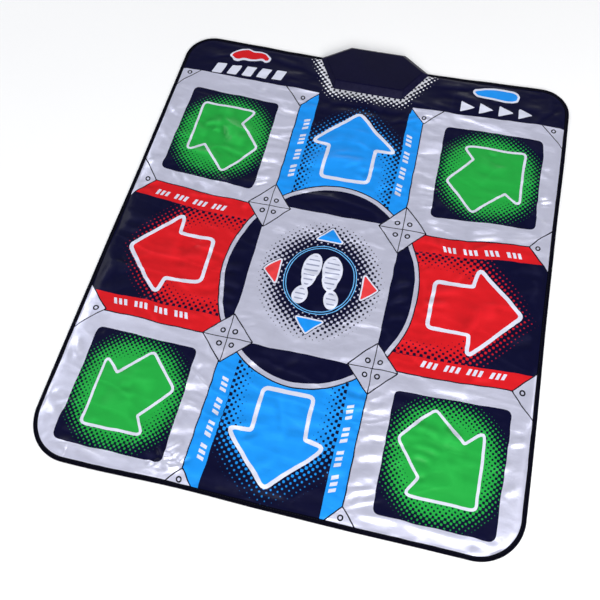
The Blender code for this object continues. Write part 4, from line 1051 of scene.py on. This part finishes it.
for i in range(N):
    px, py, nx, ny = path[i]
    for k, (ins, z, w, st) in enumerate(prof):
        ii = ins * MM + w * (wave[i] * 1.2 * MM) * (1 if ins > 4 else 0) + (0.30 * MM * (scallop[i] - 0.5) if 0.5 < st and ins > 7.5 else 0)
        zz = z * MM + (st * 0.11 * MM * (1 - scallop[i]) if st < 0 else 0) + (0.18 * MM * lift[i] if 0 < z - 3.3 else 0)
        x, y = px - nx * ii, py - ny * ii
        if i in (0, N - 1):
            x = math.copysign(end_x(min(y, YB)), x)
        co.append((x, y, zz))
        tape_s.append(plen[i])
        tape_t.append(t_run[k])
for i in range(N - 1):
    for k in range(K):
        k2 = (k + 1) % K
        faces.append((i * K + k, i * K + k2, (i + 1) * K + k2, (i + 1) * K + k))
faces.append(tuple(range(K - 1, -1, -1)))
faces.append(tuple((N - 1) * K + k for k in range(K)))


def tape_material():
    g = Graph("binding_weave")
    s, t = g.attr("tape_s"), g.attr("tape_t")
    rib = g.math("SINE", g.mul(s, 2 * math.pi / 0.00085))
    warp = g.math("SINE", g.mul(t, 2 * math.pi / 0.0007))
    weave = g.mul(g.add(rib, g.mul(g.mul(rib, warp), 0.6)), 0.3)
    fuzz = g.noise(2600.0, 3.0, 0.7)
    worn = g.noise(38.0, 5.0, 0.65)
    tone = g.add(g.span(worn, 0.3, 0.75, 0.75, 1.5), g.mul(weave, 0.5))
    col = g.mix(1.0, lin(5, 5, 17), g.vec(tone, tone, tone), "MULTIPLY")
    g.set(Base_Color=col, Roughness=g.span(worn, 0.3, 0.7, 0.80, 0.94), Specular_IOR_Level=0.04,
          Normal=g.bump(g.add(weave, g.mul(fuzz, 0.5)), 0.45, 0.0003))
    return g.mat


TAPE = tape_material()
binding = mesh_piece("sewn_edge_tape", np.array(co), faces, TAPE, None, {"tape_s": tape_s, "tape_t": tape_t})
bm = bmesh.new()
bm.from_mesh(binding.data)
bmesh.ops.recalc_face_normals(bm, faces=bm.faces)
bm.to_mesh(binding.data)
bm.free()
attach(binding, "mat")
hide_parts("edge_binding")


def thread_material():
    g = Graph("sewing_thread")
    ply = g.math("SINE", g.mul(g.xyz(g.coord("Object"))[0], 2 * math.pi / 0.0006))
    n = g.noise(3000.0, 2.0)
    tone = g.add(g.span(n, 0.3, 0.7, 0.8, 1.25), g.mul(ply, 0.08))
    g.set(Base_Color=g.mix(1.0, lin(20, 20, 30), g.vec(tone, tone, tone), "MULTIPLY"), Roughness=0.7, Specular_IOR_Level=0.2,
          Normal=g.bump(n, 0.3, 0.0002))
    return g.mat


# stitches, on the tape's top
co, faces = [], []
rings, seg = 5, 6
total = plen[-1]
count = int(total / STITCH)
sp = (np.arange(count) + 0.5) * STITCH
at = np.interp(sp, plen, np.arange(N))
for k in range(2, count - 2):
    i = int(at[k])
    f = at[k] - i
    px, py, nx, ny = path[i] * (1 - f) + path[min(i + 1, N - 1)] * f
    ln = math.hypot(nx, ny)
    nx, ny = nx / ln, ny / ln
    tx, ty = -ny, nx
    wv = float(np.interp(sp[k], plen, wave))
    ins = 5.85 * MM + 0.95 * wv * MM
    cx, cy = px - nx * ins, py - ny * ins
    base = len(co)
    for j in range(rings):
        u = j / (rings - 1) * 2 - 1
        rr = 0.34 * MM * math.sqrt(max(0.06, 1 - abs(u) ** 3))
        zc = (3.86 + 0.18 * float(np.interp(sp[k], plen, lift))) * MM - 0.22 * MM * u * u
        for q in range(seg):
            an = 2 * math.pi * q / seg
            o = rr * math.cos(an)
            co.append((cx + tx * u * 1.55 * MM + nx * o, cy + ty * u * 1.55 * MM + ny * o, zc + rr * math.sin(an)))
    for j in range(rings - 1):
        for q in range(seg):
            q2 = (q + 1) % seg
            faces.append((base + j * seg + q, base + j * seg + q2, base + (j + 1) * seg + q2, base + (j + 1) * seg + q))
    faces.append(tuple(base + q for q in range(seg - 1, -1, -1)))
    faces.append(tuple(base + (rings - 1) * seg + q for q in range(seg)))
stitches = mesh_piece("edge_stitches", np.array(co), faces, thread_material())
bm = bmesh.new()
bm.from_mesh(stitches.data)
bmesh.ops.recalc_face_normals(bm, faces=bm.faces)
bm.to_mesh(stitches.data)
bm.free()
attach(stitches, "mat")


# -------------------------------------------------------------- bottom cover
def under_height(x, y):
    d = mat_inset(x, y)
    return 1.0 * MM * (1 - smooth((d - 10.2 * MM) / (5 * MM))) + 0.02 * MM


ugx = grid_lines([], -X1 + 0.4 * MM, X1 - 0.4 * MM, 5.0 * MM)
ugy = grid_lines([], YF + 0.4 * MM, YB - 0.4 * MM, 5.0 * MM)
UX, UY = np.meshgrid(ugx, ugy, indexing="ij")
ux, uy = UX.ravel(), UY.ravel()
uid = np.arange(len(ux)).reshape(UX.shape)
uq = np.stack([uid[:-1, :-1].ravel(), uid[:-1, 1:].ravel(), uid[1:, 1:].ravel(), uid[1:, :-1].ravel()], 1)
u_in = mat_inset(ux, uy)
u_no = poly_sdf(ux, uy, TRAY_NOTCH)
uk = (u_in[uq].max(1) > EDGE_IN + 0.5 * MM) & (u_no[uq].max(1) > 1.2 * MM)
uq = uq[uk]
used = np.unique(uq)
lut = np.zeros(len(ux), int)
lut[used] = np.arange(len(used))
x, y = snap_to(ux[used], uy[used], mat_inset, EDGE_IN)
x, y = snap_to(x, y, lambda p, q: poly_sdf(p, q, TRAY_NOTCH), 0.0)


def grip_material():
    g = Graph("non_slip_vinyl")
    o = g.xyz(g.coord())
    k = 2 * math.pi / 0.0052
    lattice = g.mul(g.add(g.cos(g.mul(g.add(o[0], o[1]), k * 0.7071)), g.cos(g.mul(g.sub(o[0], o[1]), k * 0.7071))), 0.5)
    dot = g.span(lattice, 0.35, 0.75, 0.0, 1.0, True)
    wear = g.noise(22.0, 5.0, 0.65)
    dust = g.noise(320.0, 4.0, 0.7)
    col = g.mix(dot, lin(30, 30, 33), lin(46, 46, 50))
    tone = g.add(g.span(wear, 0.3, 0.7, 0.82, 1.2), g.span(dust, 0.35, 0.7, -0.08, 0.12))
    col = g.mix(1.0, col, g.vec(tone, tone, tone), "MULTIPLY")
    g.set(Base_Color=col, Roughness=g.add(g.span(wear, 0.3, 0.7, 0.66, 0.84), g.mul(dot, -0.08)),
          Normal=g.bump(g.add(dot, g.mul(dust, 0.2)), 0.7, 0.0006))
    return g.mat


under = mesh_piece("non_slip_underside", np.stack([x, y, under_height(x, y)], 1), lut[uq].tolist(), grip_material(),
                   slope_normals(under_height, x, y, -1.0))
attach(under, "mat")
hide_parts("bottom_cover")


# --------------------------------------------------------------- control box
def abs_material(name, dark, bright, rough, grain=1500.0, deep=0.00012, gloss=0.08):
    g = Graph(name)
    n = g.noise(grain, 3.0, 0.6)
    v = g.voronoi(grain * 0.8)
    wide = g.noise(16.0, 4.0, 0.6)
    geo = g.tree.nodes.new("ShaderNodeNewGeometry")
    worn = g.span(geo.outputs["Pointiness"], 0.505, 0.56, 0.0, 1.0, True)
    worn = g.mul(worn, g.span(g.noise(120.0, 4.0, 0.7), 0.35, 0.65, 0.2, 1.0))
    tone = g.add(g.span(wide, 0.3, 0.7, 0.9, 1.12), g.span(n, 0.3, 0.7, -0.06, 0.06))
    col = g.mix(g.mul(worn, 0.55), dark, bright)
    col = g.mix(1.0, col, g.vec(tone, tone, tone), "MULTIPLY")
    g.set(Base_Color=col, Roughness=g.sub(g.span(wide, 0.3, 0.7, rough - 0.03, rough + 0.05), g.mul(worn, 0.08)),
          Normal=g.bump(g.add(g.mul(n, 0.6), v), 0.55, deep), Specular_IOR_Level=gloss)
    return g.mat


ABS = abs_material("moulded_abs_top", lin(7, 6, 38), lin(30, 28, 58), 0.52, gloss=0.07)
ABS_LOW = abs_material("moulded_abs_base", lin(20, 19, 36), lin(64, 62, 80), 0.52, 1100.0)


def box_shell():
    """Thin-walled cover of the control box with rounded edges and its cable hole."""
    rings = [(HEX, BOX_Z[0] - 4 * MM), (box_outline(tuple(v * CELL for v in BOX_TOP_INSETS)), BOX_Z[1])]
    # the lower ring runs on below the rim along the same slope, and is trimmed after
    low = [(h[0] + (h[0] - t[0]) * 4.0 / 12.8, h[1] + (h[1] - t[1]) * 4.0 / 12.8) for h, t in zip(HEX, rings[1][0])]
    bm = bmesh.new()
    a = [bm.verts.new((p[0], p[1], BOX_Z[0] - 4 * MM)) for p in low]
    b = [bm.verts.new((p[0], p[1], BOX_Z[1])) for p in rings[1][0]]
    for i in range(6):
        j = (i + 1) % 6
        bm.faces.new((a[i], a[j], b[j], b[i]))
    bm.faces.new(b)
    edges = [e for e in bm.edges if not e.is_boundary]
    bmesh.ops.bevel(bm, geom=edges, offset=1.9 * MM, segments=5, profile=0.5, affect="EDGES")
    mesh = bpy.data.meshes.new("box_shell")
    bm.to_mesh(mesh)
    bm.free()
    obj = bpy.data.objects.new("control_box_cover", mesh)
    bpy.context.scene.collection.objects.link(obj)
    mod = obj.modifiers.new("wall", "SOLIDIFY")
    mod.thickness, mod.offset, mod.use_even_offset = 2.2 * MM, -1.0, True

    def tool(name, make):
        tb = bmesh.new()
        make(tb)
        tm = bpy.data.meshes.new(name)
        tb.to_mesh(tm)
        tb.free()
        to = bpy.data.objects.new(name, tm)
        bpy.context.scene.collection.objects.link(to)
        m = obj.modifiers.new(name, "BOOLEAN")
        m.operation, m.solver, m.object = "DIFFERENCE", "EXACT", to
        return to

    def trim(tb):
        bmesh.ops.create_cube(tb, size=1.0)
        bmesh.ops.scale(tb, verts=tb.verts, vec=(0.5, 0.5, 0.04))
        bmesh.ops.translate(tb, verts=tb.verts, vec=(0, 0.42, BOX_Z[0] - 0.02))

    def bore(tb):
        bmesh.ops.create_cone(tb, cap_ends=True, segments=40, radius1=INLET_R, radius2=INLET_R, depth=0.03)
        bmesh.ops.rotate(tb, verts=tb.verts, cent=(0, 0, 0), matrix=Matrix.Rotation(math.radians(90), 3, "X"))
        bmesh.ops.translate(tb, verts=tb.verts, vec=(0, lay(0, BOX_BACK[1])[1] - 0.007, INLET_Z))

    tools = [tool("trim", trim), tool("bore", bore)]
    dg = bpy.context.evaluated_depsgraph_get()
    done = bpy.data.meshes.new_from_object(obj.evaluated_get(dg))
    obj.modifiers.clear()
    obj.data = done
    for t in tools:
        bpy.data.objects.remove(t, do_unlink=True)
    bm = bmesh.new()
    bm.from_mesh(done)
    bmesh.ops.remove_doubles(bm, verts=bm.verts, dist=0.00001)
    bm.to_mesh(done)
    bm.free()
    done.shade_smooth()
    done.set_sharp_from_angle(angle=math.radians(38))
    mod = obj.modifiers.new("weighted", "WEIGHTED_NORMAL")
    mod.keep_sharp = True
    done.materials.clear()
    done.materials.append(ABS)
    return obj


shell = box_shell()
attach(shell, "mat")
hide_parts("upper_housing")


# --------------------------------------------- pieces that stay as CAD shapes
def foam_material(name, colour, scale):
    g = Graph(name)
    cells = g.voronoi(scale)
    n = g.noise(scale * 0.4, 4.0, 0.6)
    # darker at the middle of each cell, where the bump height is lowest: painted shade in the foam's pores
    tone = g.add(g.span(cells, 0.0, 0.6, 0.72, 1.12), g.span(n, 0.3, 0.7, -0.08, 0.08))
    g.set(Base_Color=g.mix(1.0, colour, g.vec(tone, tone, tone), "MULTIPLY"), Roughness=0.95,
          Normal=g.bump(cells, 0.6, 0.0004))
    return g.mat


def film_material(name, colour):
    g = Graph(name)
    o = g.xyz(g.coord())
    track = g.mul(g.lt(g.math("FLOORED_MODULO", o[0], 0.004), 0.0016), g.gt(o[1], 0.30))
    haze = g.noise(30.0, 4.0, 0.6)
    tone = g.span(haze, 0.3, 0.7, 0.93, 1.05)
    col = g.mix(g.mul(track, 0.7), colour, lin(150, 150, 155))
    g.set(Base_Color=g.mix(1.0, col, g.vec(tone, tone, tone), "MULTIPLY"), Roughness=g.span(haze, 0.3, 0.7, 0.16, 0.28),
          Normal=g.bump(haze, 0.15, 0.0006))
    return g.mat


def metal_material(name, colour, rough, metallic=1.0, streak=(1.0, 1.0, 1.0), scale=500.0):
    g = Graph(name)
    n = g.noise(scale, 5.0, 0.65, g.scaled(g.coord(), streak))
    tone = g.span(n, 0.3, 0.7, 0.88, 1.08)
    g.set(Base_Color=g.mix(1.0, colour, g.vec(tone, tone, tone), "MULTIPLY"), Metallic=metallic,
          Roughness=g.span(n, 0.3, 0.7, rough - 0.06, rough + 0.1), Normal=g.bump(n, 0.2, 0.0002))
    return g.mat


def board_material():
    g = Graph("circuit_board_mask")
    o = g.xyz(g.coord())
    gx_ = g.near(g.math("FLOORED_MODULO", o[0], 0.00254), 0.00127, 0.00032)
    gy_ = g.near(g.math("FLOORED_MODULO", g.add(o[1], g.mul(g.math("FLOOR", g.mul(o[0], 260.0)), 0.0007)), 0.0061), 0.003, 0.0006)
    tr = g.mul(gx_, g.inv(gy_))
    pads = g.lt(g.hyp(g.sub(g.math("FLOORED_MODULO", o[0], 0.00508), 0.00254), g.sub(g.math("FLOORED_MODULO", o[1], 0.00762), 0.0038)), 0.0007)
    n = g.noise(90.0, 4.0, 0.6)
    col = g.mix(tr, lin(14, 70, 38), lin(30, 104, 58))
    col = g.mix(pads, col, lin(206, 204, 196))
    tone = g.span(n, 0.3, 0.7, 0.92, 1.07)
    g.set(Base_Color=g.mix(1.0, col, g.vec(tone, tone, tone), "MULTIPLY"), Metallic=g.mul(pads, 0.8), Roughness=0.36,
          Normal=g.bump(g.add(tr, pads), 0.35, 0.00012))
    g.set(Coat_Weight=0.2, Coat_Roughness=0.2)
    return g.mat


def plastic_material(name, colour, rough, bands=None):
    g = Graph(name)
    n = g.noise(900.0, 3.0, 0.6)
    tone = g.span(n, 0.3, 0.7, 0.9, 1.1)
    col = colour
    if bands is not None:
        o = g.xyz(g.coord())
        col = g.mix(g.lt(o[0], bands[0]), colour, bands[1])
    g.set(Base_Color=g.mix(1.0, col, g.vec(tone, tone, tone), "MULTIPLY"), Roughness=g.span(n, 0.3, 0.7, rough - 0.04, rough + 0.08),
          Normal=g.bump(n, 0.3, 0.0002))
    return g.mat


steel = metal_material("zinc_screw", lin(196, 198, 202), 0.30, 1.0, (1, 1, 1), 1800.0)
foil = metal_material("contact_foil", lin(208, 210, 214), 0.30, 0.95, (1.0, 14.0, 1.0), 60.0)
inner_mats = {
    "padding_foam": foam_material("padding_foam_cells", lin(60, 60, 64), 700.0),
    "spacer_foam": foam_material("spacer_foam_cells", lin(222, 222, 216), 900.0),
    "lower_contact_film": film_material("lower_film_clear", lin(206, 212, 214)),
    "upper_contact_film": film_material("upper_film_clear", lin(214, 218, 220)),
    "lower_housing": ABS_LOW,
    "circuit_board": board_material(),
    "controller_chip": plastic_material("epoxy_package", lin(26, 26, 28), 0.55),
    "crystal": metal_material("crystal_can", lin(205, 206, 210), 0.24, 1.0, (6.0, 1.0, 1.0), 500.0),
    "capacitor": plastic_material("capacitor_sleeve", lin(24, 32, 80), 0.32, (-0.0262, lin(190, 192, 198))),
    "film_clamp_bar": plastic_material("clamp_bar_plastic", lin(48, 48, 52), 0.6),
}
for name, obj in nodes.items():
    if obj.hide_render:
        continue
    mat = inner_mats.get(name)
    if mat is None:
        mat = foil if "foil" in name else steel
    obj.data.materials.clear()
    obj.data.materials.append(mat)
    if name in ("lower_housing", "controller_chip", "crystal", "capacitor") or "screw" in name:
        obj.data.shade_smooth()
        obj.data.set_sharp_from_angle(angle=math.radians(32))

# --------------------------------------------------------------------- stage
scene = bpy.context.scene


def floor_material():
    g = Graph("studio_floor")
    n = g.noise(3.0, 3.0, 0.5)
    tone = g.span(n, 0.3, 0.7, 0.985, 1.0)
    g.set(Base_Color=g.mix(1.0, (0.97, 0.97, 0.975, 1.0), g.vec(tone, tone, tone), "MULTIPLY"), Roughness=0.9,
          Specular_IOR_Level=0.2, Emission_Color=(1.0, 1.0, 1.0, 1.0), Emission_Strength=0.06)
    return g.mat


fm = bpy.data.meshes.new("floor")
bm = bmesh.new()
bmesh.ops.create_grid(bm, x_segments=2, y_segments=2, size=6.0)
bmesh.ops.translate(bm, verts=bm.verts, vec=(0, 0, -0.0003))
bm.to_mesh(fm)
bm.free()
floor = bpy.data.objects.new("floor", fm)
fm.materials.append(floor_material())
scene.collection.objects.link(floor)


def area_light(name, where, aim, size, power, colour=(1, 1, 1)):
    lamp = bpy.data.lights.new(name, "AREA")
    lamp.shape = "RECTANGLE"
    lamp.size, lamp.size_y = size
    lamp.energy = power
    lamp.color = colour
    obj = bpy.data.objects.new(name, lamp)
    obj.location = where
    obj.rotation_euler = (Vector(aim) - Vector(where)).to_track_quat("-Z", "Y").to_euler()
    scene.collection.objects.link(obj)
    return obj


area_light("rake_front", (1.15, -2.9, 1.8), (0, 0, 0), (2.6, 1.1), 92)
area_light("key_front", (0.80, -1.8, 2.5), (0, 0, 0), (2.8, 1.4), 46)
area_light("fill_left", (-2.7, 0.5, 1.7), (0, 0, 0), (1.8, 1.2), 26, (0.96, 0.98, 1.0))
area_light("fill_right", (2.7, 0.1, 1.6), (0, 0, 0), (1.8, 1.2), 22, (1.0, 0.99, 0.97))
area_light("fill_back", (-0.3, 5.2, 1.9), (0, 0.3, 0), (4.0, 1.2), 80)

world = bpy.data.worlds.new("studio")
scene.world = world
world.use_nodes = True
world.node_tree.nodes["Background"].inputs["Color"].default_value = (0.80, 0.83, 0.90, 1.0)
world.node_tree.nodes["Background"].inputs["Strength"].default_value = 0.15

cam_data = bpy.data.cameras.new("camera")
cam_data.lens, cam_data.sensor_width = 37.021, 36.0
cam_data.shift_x, cam_data.shift_y = -0.05583, -0.00098
cam_data.clip_start, cam_data.clip_end = 0.05, 30
cam = bpy.data.objects.new("camera", cam_data)
right = (0.97400806, 0.22503133, -0.02586886)
down = (0.19713973, -0.89839880, -0.39244811)
ahead = (-0.11155367, 0.37714784, -0.91941029)
rot = Matrix((right, [-v for v in down], [-v for v in ahead])).transposed()
cam.matrix_world = Matrix.Translation((1.22754448 * CELL, (-3.44085588 - Y0) * CELL, 7.89737047 * CELL)) @ rot.to_4x4()
scene.collection.objects.link(cam)
scene.camera = cam
scene.view_settings.view_transform = "Standard"
scene.view_settings.look = "None"
scene.view_settings.exposure = 0.0
scene.view_settings.gamma = 1.0
